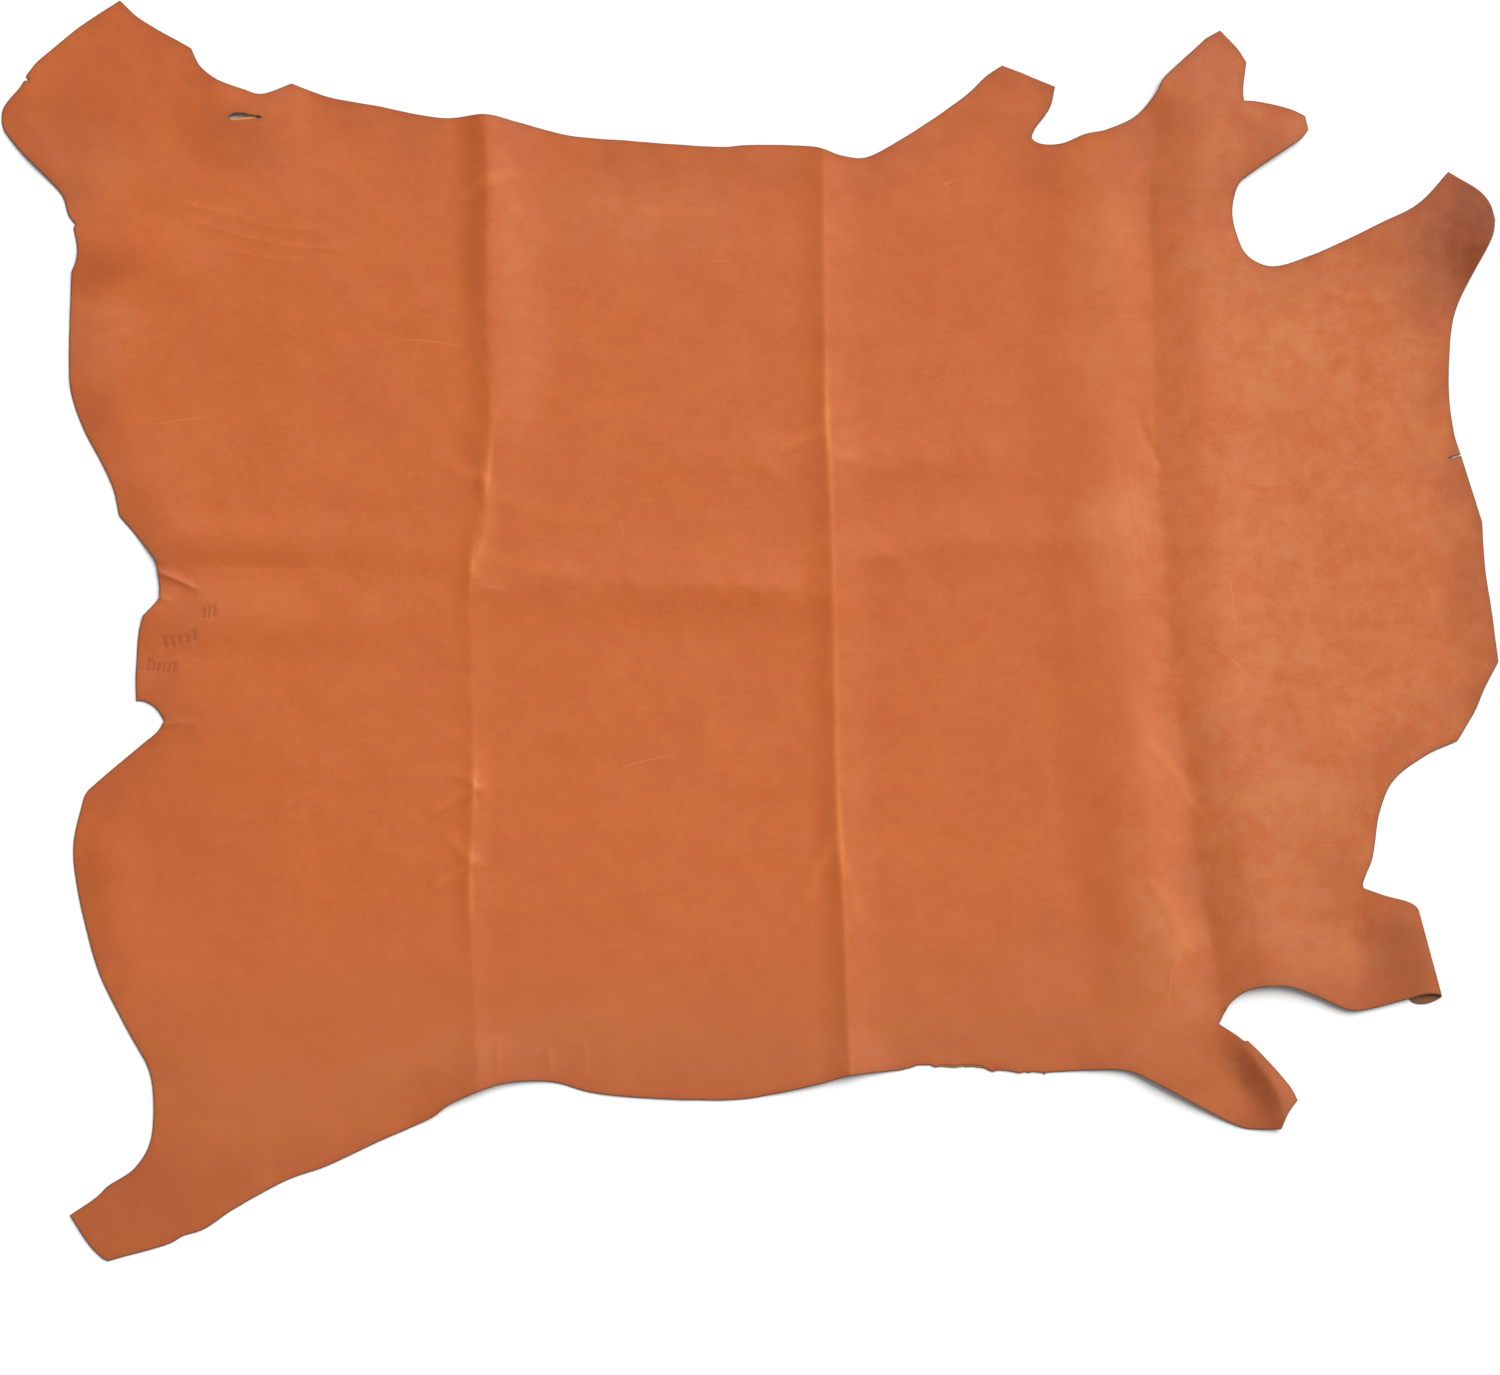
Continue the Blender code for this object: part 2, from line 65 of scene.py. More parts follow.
# Worn hole in the upper hind shank, anticlockwise from the end of its tear: (x, y) from its
# middle, width of the rim that slopes in to the opening, and how far the rim is torn and pale
HOLE_CENTRE = np.array((-0.816, 0.820))
HOLE_EDGE = (
    (0.0350, 0.0004, 0.0008, 0.0), (0.0314, 0.0020, 0.0008, 0.0), (0.0272, 0.0021, 0.0008, 0.0),
    (0.0224, 0.0026, 0.0010, 0.0), (0.0152, 0.0038, 0.0014, 0.0), (0.0072, 0.0057, 0.0017, 0.0),
    (-0.0016, 0.0062, 0.0018, 0.0), (-0.0096, 0.0054, 0.0018, 0.0), (-0.0141, 0.0031, 0.0018, 0.0),
    (-0.0163, -0.0002, 0.0017, 0.0), (-0.0132, -0.0014, 0.0030, 0.8), (-0.0064, -0.0006, 0.0048, 1.0),
    (0.0016, 0.0002, 0.0054, 1.0), (0.0096, 0.0012, 0.0054, 1.0), (0.0176, 0.0014, 0.0048, 1.0),
    (0.0240, 0.0009, 0.0024, 1.0), (0.0296, -0.0008, 0.0008, 0.2), (0.0350, 0.0004, 0.0008, 0.0),
)
HOLE_STEP = 0.0016
HOLE_RAG = 0.0007

# Fineness of the mesh
EDGE_STEP = 0.0042
ROW_STEP = 0.02
LINE_STEP = 0.0065
GRID_STEP = 0.0088
FLESH_STEP = 0.021
GRID_CLEARANCE = 0.0049
FLESH_CLEARANCE = 0.011
EDGE_ROWS = (0.0024, 0.0062)
FOLD_ROWS = (0.0016, 0.0042, 0.0085)
MERGE_DISTANCE = 1e-6

# How ragged the knife and the tear left the edge: size of the waves and how far they stray
KNIFE_WAVE = 0.030
KNIFE_STRAY = 0.0004
TEAR_WAVE = 0.004
TEAR_STRAY = 0.0007

# Section through the cut edge, from the grain side down: (share of the bevel gone out,
# height in half thicknesses). In a torn lip the grain layer ends short of the fibre layer.
BEVEL = 0.0008
LIP_BEVEL = 0.0036
CUT_PROFILE = ((0.50, 0.80), (1.0, 0.15), (1.0, -0.60))
LIP_PROFILE = ((0.12, 0.25), (0.34, -0.05), (1.0, -0.40))

# The folded-under end of the lower cheek, as (along the fold from its head, past the fold)
FLAP_EDGE = (
    (-0.0115, 0.0020), (-0.0010, 0.0080), (0.016, 0.019), (0.040, 0.035), (0.072, 0.050),
    (0.104, 0.061), (0.124, 0.063), (0.136, 0.058), (0.142, 0.049), (0.145, 0.035),
    (0.144, 0.021), (0.140, 0.0080), (0.136, 0.0024), (0.132, -0.0070),
)
CHEEK_POINTS_BEFORE_FLAP = 2

# The cut edge, once round clockwise as seen from above. Each row is a stretch of it: its
# name, how it runs, and the points that it passes, as (x, y). A stretch begins where the
# row above it ends, in a corner. A smooth one is a curve through its points, a torn one
# goes straight from point to point, and the folded one goes round the flap on its way.
CUT_EDGE = (
    ("upper hind shank, end", "smooth", (
        (-0.976, 0.979), (-0.894, 0.932))),
    ("upper hind shank, belly side", "smooth", (
        (-0.880, 0.904), (-0.854, 0.883), (-0.808, 0.865), (-0.782, 0.858), (-0.733, 0.875))),
    ("upper belly", "smooth", (
        (-0.675, 0.854), (-0.600, 0.840), (-0.490, 0.820), (-0.424, 0.825), (-0.371, 0.813),
        (-0.294, 0.793), (-0.198, 0.784), (-0.042, 0.774), (0.000, 0.777), (0.107, 0.773),
        (0.146, 0.760), (0.184, 0.757), (0.245, 0.788), (0.302, 0.825), (0.352, 0.862),
        (0.379, 0.888), (0.403, 0.904))),
    ("elbow, end", "smooth", (
        (0.432, 0.893), (0.488, 0.870))),
    ("elbow, neck side", "smooth", (
        (0.480, 0.837), (0.455, 0.801), (0.451, 0.788), (0.465, 0.779), (0.498, 0.779),
        (0.536, 0.794), (0.570, 0.801), (0.619, 0.825), (0.650, 0.862), (0.661, 0.883),
        (0.692, 0.913), (0.730, 0.948))),
    ("upper fore shank, tip", "smooth", (
        (0.752, 0.960),)),
    ("upper fore shank, end", "smooth", (
        (0.782, 0.928), (0.794, 0.910))),
    ("upper fore shank, step", "smooth", (
        (0.789, 0.865), (0.790, 0.848))),
    ("upper fore shank, lobe", "smooth", (
        (0.810, 0.847), (0.868, 0.833), (0.888, 0.823))),
    ("upper fore shank, lobe end", "smooth", (
        (0.893, 0.801),)),
    ("upper throat bay", "smooth", (
        (0.882, 0.787), (0.856, 0.769), (0.799, 0.730), (0.782, 0.715), (0.771, 0.672),
        (0.782, 0.623), (0.797, 0.599), (0.834, 0.583), (0.906, 0.604), (1.006, 0.651),
        (1.070, 0.684), (1.117, 0.734))),
    ("upper cheek, end", "smooth", (
        (1.170, 0.701), (1.184, 0.682), (1.191, 0.657))),
    ("neck, above the slit", "smooth", (
        (1.187, 0.632), (1.155, 0.569), (1.130, 0.516), (1.122, 0.481), (1.118, 0.382),
        (1.126, 0.317), (1.1362, 0.2815))),
    ("slit in the neck", "torn", (
        (1.1285, 0.2800), (1.117, 0.2762), (1.1270, 0.2768), (1.1372, 0.2800))),
    ("neck, below the slit", "smooth", (
        (1.161, 0.206), (1.171, 0.174))),
    ("neck, lower half", "smooth", (
        (1.176, 0.099), (1.186, 0.034), (1.197, -0.050))),
    ("neck, lower corner", "smooth", (
        (1.175, -0.092), (1.162, -0.124), (1.132, -0.176))),
    ("lower throat bay", "smooth", (
        (1.082, -0.199), (1.029, -0.240), (1.008, -0.287), (0.995, -0.365), (0.985, -0.390),
        (0.980, -0.407), (0.982, -0.412))),
    ("lower cheek", "folded", (
        (1.017, -0.424), (1.051, -0.433), (1.075, -0.582), (1.051, -0.589), (0.985, -0.606),
        (0.960, -0.607), (0.906, -0.585), (0.875, -0.573), (0.849, -0.568), (0.814, -0.570),
        (0.791, -0.577), (0.768, -0.595), (0.749, -0.628))),
    ("lower fore shank, neck side", "smooth", (
        (0.774, -0.644), (0.789, -0.655))),
    ("lower fore shank, nick", "torn", (
        (0.794, -0.654),)),
    ("lower fore shank, outer side", "smooth", (
        (0.819, -0.678), (0.866, -0.732), (0.876, -0.751))),
    ("lower fore shank, end", "smooth", (
        (0.860, -0.772), (0.849, -0.797))),
    ("lower fore shank, belly side", "smooth", (
        (0.797, -0.797), (0.768, -0.787), (0.726, -0.765), (0.650, -0.724), (0.611, -0.706),
        (0.574, -0.702), (0.474, -0.707))),
    ("lower belly, torn run", "torn", (
        (0.4714, -0.7100), (0.4698, -0.7072), (0.4540, -0.7060), (0.4458, -0.7072), (0.4390, -0.7060),
        (0.4320, -0.7080), (0.4110, -0.7040), (0.3976, -0.7031), (0.3872, -0.7054), (0.3750, -0.7001),
        (0.3594, -0.6983), (0.3386, -0.6974), (0.3280, -0.6993), (0.3088, -0.6975), (0.2970, -0.6983),
        (0.2882, -0.6950), (0.2666, -0.6950), (0.2630, -0.6975), (0.2405, -0.7031))),
    ("lower belly", "smooth", (
        (0.157, -0.712), (0.115, -0.724), (0.000, -0.748), (-0.042, -0.751), (-0.160, -0.748),
        (-0.252, -0.739), (-0.317, -0.722), (-0.370, -0.721), (-0.409, -0.728), (-0.482, -0.759),
        (-0.508, -0.778), (-0.600, -0.820), (-0.679, -0.857), (-0.741, -0.879), (-0.825, -0.925),
        (-0.875, -0.958), (-0.906, -0.968), (-0.928, -0.980), (-1.026, -1.008))),
    ("lower hind shank, end", "smooth", (
        (-1.034, -1.005), (-1.054, -0.986), (-1.088, -0.935))),
    ("lower hind shank, tail side", "smooth", (
        (-1.043, -0.904), (-1.028, -0.889), (-0.986, -0.861), (-0.961, -0.822), (-0.954, -0.756),
        (-0.962, -0.701), (-0.994, -0.642), (-1.038, -0.555), (-1.060, -0.484), (-1.079, -0.394),
        (-1.082, -0.342), (-1.068, -0.276), (-1.062, -0.260), (-1.045, -0.243), (-0.970, -0.180),
        (-0.947, -0.160), (-0.937, -0.144))),
    ("tail, lower side", "smooth", (
        (-0.946, -0.129), (-0.955, -0.120), (-0.970, -0.113), (-0.982, -0.112))),
    ("tail, end", "smooth", (
        (-0.982, -0.065), (-0.977, 0.000), (-0.971, 0.024))),
    ("tail, upper side", "smooth", (
        (-0.957, 0.038), (-0.944, 0.053))),
    ("tail, root", "smooth", (
        (-0.945, 0.076), (-0.951, 0.111), (-0.962, 0.128), (-1.009, 0.184))),
    ("upper rump", "smooth", (
        (-1.019, 0.229), (-1.039, 0.272), (-1.068, 0.327), (-1.086, 0.382), (-1.089, 0.459),
        (-1.085, 0.574))),
    ("upper rump, nick", "smooth", (
        (-1.078, 0.592), (-1.076, 0.612), (-1.082, 0.644))),
    ("upper hind shank, step", "torn", (
        (-1.079, 0.650),)),
    ("upper hind shank, tail side", "smooth", (
        (-1.089, 0.663), (-1.098, 0.692), (-1.106, 0.704), (-1.162, 0.762), (-1.181, 0.784),
        (-1.194, 0.803), (-1.197, 0.822), (-1.193, 0.839), (-1.168, 0.869), (-1.161, 0.880))),
    ("upper hind shank, notch", "torn", (
        (-1.153, 0.880), (-1.158, 0.888))),
    ("upper hind shank, outer side", "smooth", (
        (-1.141, 0.909), (-1.120, 0.927), (-1.072, 0.966), (-1.008, 1.008))),
)

# Folding creases that stand up as ridges: name, spread to its right and to its left, how
# round the crest is, and rows of (x, y, height, pull), where pull is how much of the colour
# the crest has lost. Those that run down the picture have the rump on their right.
FOLDS = (
    ("hind fold, upper part", 0.046, 0.092, 0.012, (
        (-0.424, 0.822, 0.0130, 0.0), (-0.416, 0.713, 0.0150, 0.1), (-0.418, 0.610, 0.0145, 0.0),
        (-0.418, 0.529, 0.0105, 0.0), (-0.416, 0.436, 0.0080, 0.0), (-0.412, 0.332, 0.0070, 0.2),
        (-0.419, 0.240, 0.0040, 0.9), (-0.424, 0.200, 0.0025, 0.2), (-0.432, 0.160, 0.0015, 0.1),
        (-0.440, 0.099, 0.0000, 0.0))),
    ("hind fold, lower part", 0.032, 0.036, 0.004, (
        (-0.419, 0.240, 0.0000, 0.0), (-0.438, 0.150, 0.0030, 0.3), (-0.444, 0.099, 0.0040, 1.0),
        (-0.446, 0.060, 0.0025, 0.4), (-0.446, 0.020, 0.0018, 0.1), (-0.444, -0.079, 0.0018, 0.1),
        (-0.441, -0.200, 0.0026, 0.3), (-0.440, -0.256, 0.0046, 1.0), (-0.443, -0.315, 0.0030, 0.2),
        (-0.446, -0.375, 0.0044, 0.6), (-0.444, -0.527, 0.0021, 0.1), (-0.434, -0.735, 0.0024, 0.0))),
    ("middle fold", 0.046, 0.062, 0.0035, (
        (0.118, 0.772, 0.0056, 0.1), (0.119, 0.665, 0.0060, 0.3), (0.121, 0.462, 0.0062, 0.4),
        (0.123, 0.335, 0.0062, 1.0), (0.127, 0.270, 0.0070, 1.0), (0.131, 0.192, 0.0054, 0.5),
        (0.134, 0.038, 0.0062, 0.4), (0.137, -0.111, 0.0074, 0.5), (0.140, -0.264, 0.0083, 0.6),
        (0.144, -0.320, 0.0080, 0.9), (0.147, -0.370, 0.0076, 1.0), (0.150, -0.430, 0.0080, 0.4),
        (0.153, -0.532, 0.0083, 0.2), (0.161, -0.711, 0.0080, 0.1))),
    ("cross fold, hind to middle", 0.080, 0.074, 0.014, (
        (-0.430, 0.064, 0.0022, 0.0), (-0.336, 0.078, 0.0036, 0.0), (-0.179, 0.072, 0.0042, 0.0),
        (0.000, 0.070, 0.0052, 0.0), (0.118, 0.058, 0.0036, 0.0))),
    ("cross fold, middle to neck", 0.068, 0.062, 0.014, (
        (0.140, 0.106, 0.0028, 0.0), (0.208, 0.119, 0.0034, 0.0), (0.384, 0.146, 0.0030, 0.0),
        (0.560, 0.150, 0.0010, 0.0))),
    ("upper cross fold", 0.062, 0.054, 0.016, (
        (-0.110, 0.258, 0.0005, 0.0), (0.040, 0.266, 0.0018, 0.0), (0.124, 0.276, 0.0022, 0.0),
        (0.230, 0.272, 0.0019, 0.0), (0.380, 0.278, 0.0008, 0.0))),
    ("side fold, upper", 0.024, 0.024, 0.003, (
        (-0.442, -0.250, 0.0021, 0.3), (-0.500, -0.278, 0.0009, 0.0))),
    ("side fold, lower", 0.024, 0.024, 0.003, (
        (-0.446, -0.370, 0.0021, 0.2), (-0.497, -0.396, 0.0009, 0.0))),
    ("tail root fold", 0.009, 0.012, 0.0016, (
        (-0.946, 0.094, 0.0022, 0.1), (-0.923, 0.085, 0.0040, 0.2), (-0.906, 0.077, 0.0034, 0.1),
        (-0.882, 0.065, 0.0012, 0.0))),
    ("tail root pinch", 0.009, 0.009, 0.0015, (
        (-0.942, 0.053, 0.0015, 0.0), (-0.926, 0.046, 0.0010, 0.0))),
    ("tail pucker", 0.010, 0.010, 0.0015, (
        (-0.936, -0.150, 0.0012, 0.0), (-0.910, -0.147, 0.0012, 0.0), (-0.888, -0.150, 0.0006, 0.0))),
    ("lower fore shank, ridge", 0.050, 0.026, 0.008, (
        (0.775, -0.650, 0.0020, 0.0), (0.808, -0.690, 0.0075, 0.0), (0.840, -0.735, 0.0090, 0.0),
        (0.856, -0.785, 0.0080, 0.0))),
)
PULL_REACH = 0.0048
TROUGH_ROUND = 0.011

# Creases that sink to the floor between two raised shoulders: name, how far the shoulder and
# the foot lie from the line on its right, the same on its left, and rows of (x, y, height of
# the right shoulder, height of the left one, pull)
TROUGHS = (
    ("neck fold", 0.075, 0.210, 0.072, 0.180, (
        (0.648, 0.801, 0.0074, 0.0074, 0.0), (0.637, 0.704, 0.0090, 0.0098, 0.1),
        (0.640, 0.593, 0.0068, 0.0100, 0.0), (0.642, 0.459, 0.0046, 0.0090, 0.0),
        (0.646, 0.275, 0.0074, 0.0086, 0.2), (0.656, 0.177, 0.0084, 0.0080, 0.1),
        (0.664, 0.049, 0.0076, 0.0090, 0.0), (0.674, -0.095, 0.0100, 0.0096, 0.0),
        (0.694, -0.221, 0.0130, 0.0105, 0.0), (0.708, -0.340, 0.0150, 0.0105, 0.0),
        (0.728, -0.455, 0.0150, 0.0110, 0.0), (0.750, -0.567, 0.0090, 0.0095, 0.0))),
    ("rump cross fold", 0.085, 0.150, 0.045, 0.100, (
        (-0.905, 0.104, 0.0036, 0.0034, 0.0), (-0.820, 0.100, 0.0044, 0.0040, 0.0),
        (-0.704, 0.098, 0.0042, 0.0036, 0.0), (-0.610, 0.092, 0.0026, 0.0020, 0.0),
        (-0.500, 0.080, 0.0008, 0.0006, 0.0))),
)

# Where the sheet stands off the floor in a soft swell, mostly along its edge: name, middle
# (x, y), half length, half width, turn of its length from +X in degrees, height
SWELLS = (
    ("lower belly by the fore shank", (0.650, -0.745), 0.170, 0.150, -27, 0.0125),
    ("lower belly, hind part", (-0.424, -0.745), 0.140, 0.110, 19, 0.0105),
    ("lower belly under the middle fold", (0.136, -0.730), 0.130, 0.100, 8, 0.0080),
    ("brisket bay", (0.880, -0.600), 0.190, 0.150, 5, 0.0110),
    ("upper fore shank lobe", (0.845, 0.755), 0.110, 0.070, 37, 0.0080),
    ("upper hind shank, tail side", (-1.152, 0.753), 0.085, 0.060, -49, 0.0030),
    ("upper cheek", (1.184, 0.617), 0.090, 0.075, 68, 0.0110),
    ("upper rump", (-0.960, 0.590), 0.150, 0.085, 0, 0.0060),
    ("lower rump", (-1.016, -0.383), 0.170, 0.065, 90, 0.0040),
    ("round the worn hole", (-0.812, 0.824), 0.130, 0.095, 5, 0.0090),
)

# The sheet is nowhere quite flat: soft waves, as (waves in a metre, height), and a crumpled
# strip along each folding crease
UNEVEN = ((4.0, 0.0022), (11.0, 0.0016), (26.0, 0.0005))
CRUMPLE_REACH = 0.075
CRUMPLE_WAVES = 19.0
CRUMPLE_HEIGHT = 0.0017

# Small wrinkles where the folds cross, fork and pinch: name, height, spread, crest
WRINKLES = (
    ("hind fold, kink by the belly", 0.0014, 0.018, (
        (-0.461, 0.696), (-0.426, 0.715), (-0.381, 0.728))),
    ("hind fold, upper arm of the cross", 0.0010, 0.018, (
        (-0.411, 0.340), (-0.418, 0.294), (-0.426, 0.241))),
    ("hind fold, lower arm of the cross", 0.0018, 0.017, (
        (-0.426, 0.241), (-0.418, 0.190), (-0.424, 0.155), (-0.442, 0.089))),
    ("hind fold, west arm", 0.0009, 0.020, (
        (-0.426, 0.238), (-0.461, 0.254), (-0.499, 0.276))),
    ("hind fold, east arm", 0.0006, 0.024, (
        (-0.422, 0.225), (-0.368, 0.200), (-0.294, 0.177), (-0.240, 0.174))),
    ("hind fold, low east arm", 0.0006, 0.020, (
        (-0.432, 0.126), (-0.368, 0.104), (-0.282, 0.091))),
    ("first star, upper arm", 0.0012, 0.012, (
        (-0.435, -0.252), (-0.454, -0.236), (-0.477, -0.229))),
    ("first star, lower arm", 0.0014, 0.014, (
        (-0.438, -0.256), (-0.470, -0.271), (-0.506, -0.288))),
    ("second star, upper arm", 0.0011, 0.014, (
        (-0.442, -0.370), (-0.461, -0.354), (-0.480, -0.328))),
    ("second star, lower arm", 0.0014, 0.015, (
        (-0.443, -0.373), (-0.472, -0.389), (-0.502, -0.407))),
    ("middle fold, west tuck", 0.0012, 0.016, (
        (0.123, 0.337), (0.090, 0.310), (0.051, 0.292))),
    ("middle fold, east tuck", 0.0005, 0.018, (
        (0.128, 0.286), (0.173, 0.270), (0.224, 0.264))),
    ("middle fold, low west tuck", 0.0012, 0.018, (
        (0.134, -0.338), (0.109, -0.380), (0.093, -0.431))),
    ("middle fold, low east tuck", 0.0009, 0.016, (
        (0.141, -0.351), (0.160, -0.399), (0.171, -0.450))),
    ("neck fold, west branch", -0.0008, 0.012, (
        (0.653, 0.270), (0.637, 0.302), (0.619, 0.337))),
    ("neck fold, east branch", -0.0020, 0.013, (
        (0.656, 0.272), (0.672, 0.292), (0.690, 0.318), (0.708, 0.345))),
    ("neck fold, kink by the belly", 0.0008, 0.018, (
        (0.605, 0.715), (0.627, 0.734), (0.656, 0.744))),
    ("neck fold, first slant", 0.0010, 0.018, (
        (0.640, -0.178), (0.675, -0.223), (0.704, -0.277))),
    ("neck fold, second slant", 0.0010, 0.018, (
        (0.634, -0.399), (0.666, -0.439), (0.701, -0.511))),
    ("neck, first ripple", 0.0005, 0.010, (
        (0.798, 0.235), (0.826, 0.230), (0.854, 0.232))),
    ("neck, second ripple", 0.0005, 0.010, (
        (0.794, 0.217), (0.822, 0.214), (0.854, 0.217))),
    ("upper shank, first curved ripple", 0.0004, 0.008, (
        (-0.902, 0.683), (-0.838, 0.667), (-0.768, 0.648), (-0.685, 0.641))),
    ("upper shank, second curved ripple", 0.0004, 0.007, (
        (-0.886, 0.654), (-0.816, 0.632), (-0.736, 0.616), (-0.656, 0.609))),
    ("upper shank, third curved ripple", 0.0003, 0.007, (
        (-0.858, 0.616), (-0.790, 0.600), (-0.720, 0.590))),
    ("belly, first upright ripple", 0.0005, 0.008, (
        (-0.403, -0.655), (-0.400, -0.711))),
    ("belly, second upright ripple", 0.0005, 0.008, (
        (-0.323, -0.664), (-0.317, -0.712))),
    ("belly, third upright ripple", 0.0005, 0.008, (
        (-0.266, -0.658), (-0.259, -0.709))),
    ("upper belly ripple", 0.0006, 0.013, (
        (-0.176, 0.670), (-0.118, 0.664), (-0.061, 0.667))),
    ("cheek ripple", 0.0005, 0.012, (
        (0.915, 0.542), (0.963, 0.529), (1.014, 0.529))),
    ("cheek, second ripple", 0.0006, 0.009, (
        (1.048, 0.474), (1.076, 0.460), (1.100, 0.462))),
)

# Fine pale scratches
SCRATCHES = (
    ("hind rump", (
        (-0.971, 0.329), (-0.915, 0.336), (-0.856, 0.344))),
    ("by the hind fold", (
        (-0.584, 0.462), (-0.534, 0.465), (-0.485, 0.459), (-0.440, 0.448))),
    ("above the cross fold", (
        (-0.176, 0.210), (-0.152, 0.209))),
    ("upright above the cross fold", (
        (-0.206, 0.176), (-0.202, 0.142))),
    ("upper belly star, first", (
        (0.298, 0.708), (0.333, 0.723))),
    ("upper belly star, second", (
        (0.306, 0.724), (0.323, 0.704))),
    ("side star, first", (
        (0.486, 0.446), (0.506, 0.433))),
    ("side star, second", (
        (0.493, 0.430), (0.501, 0.449))),
    ("upper middle", (
        (-0.064, 0.590), (-0.030, 0.592))),
    ("lower middle", (
        (-0.138, -0.188), (-0.125, -0.184))),
    ("neck fold, long", (
        (0.696, -0.496), (0.672, -0.559), (0.672, -0.628))),
    ("by the lot marks", (
        (-0.893, -0.050), (-0.880, -0.044))),
    ("shoulder, first", (
        (0.605, 0.056), (0.640, 0.052), (0.669, 0.043))),
    ("shoulder, second", (
        (0.720, -0.015), (0.755, -0.034), (0.819, -0.095))),
    ("shoulder, third", (
        (0.762, 0.113), (0.771, 0.049), (0.778, -0.015))),
    ("lower middle, long", (
        (-0.240, -0.232), (-0.176, -0.210), (-0.096, -0.194))),
)
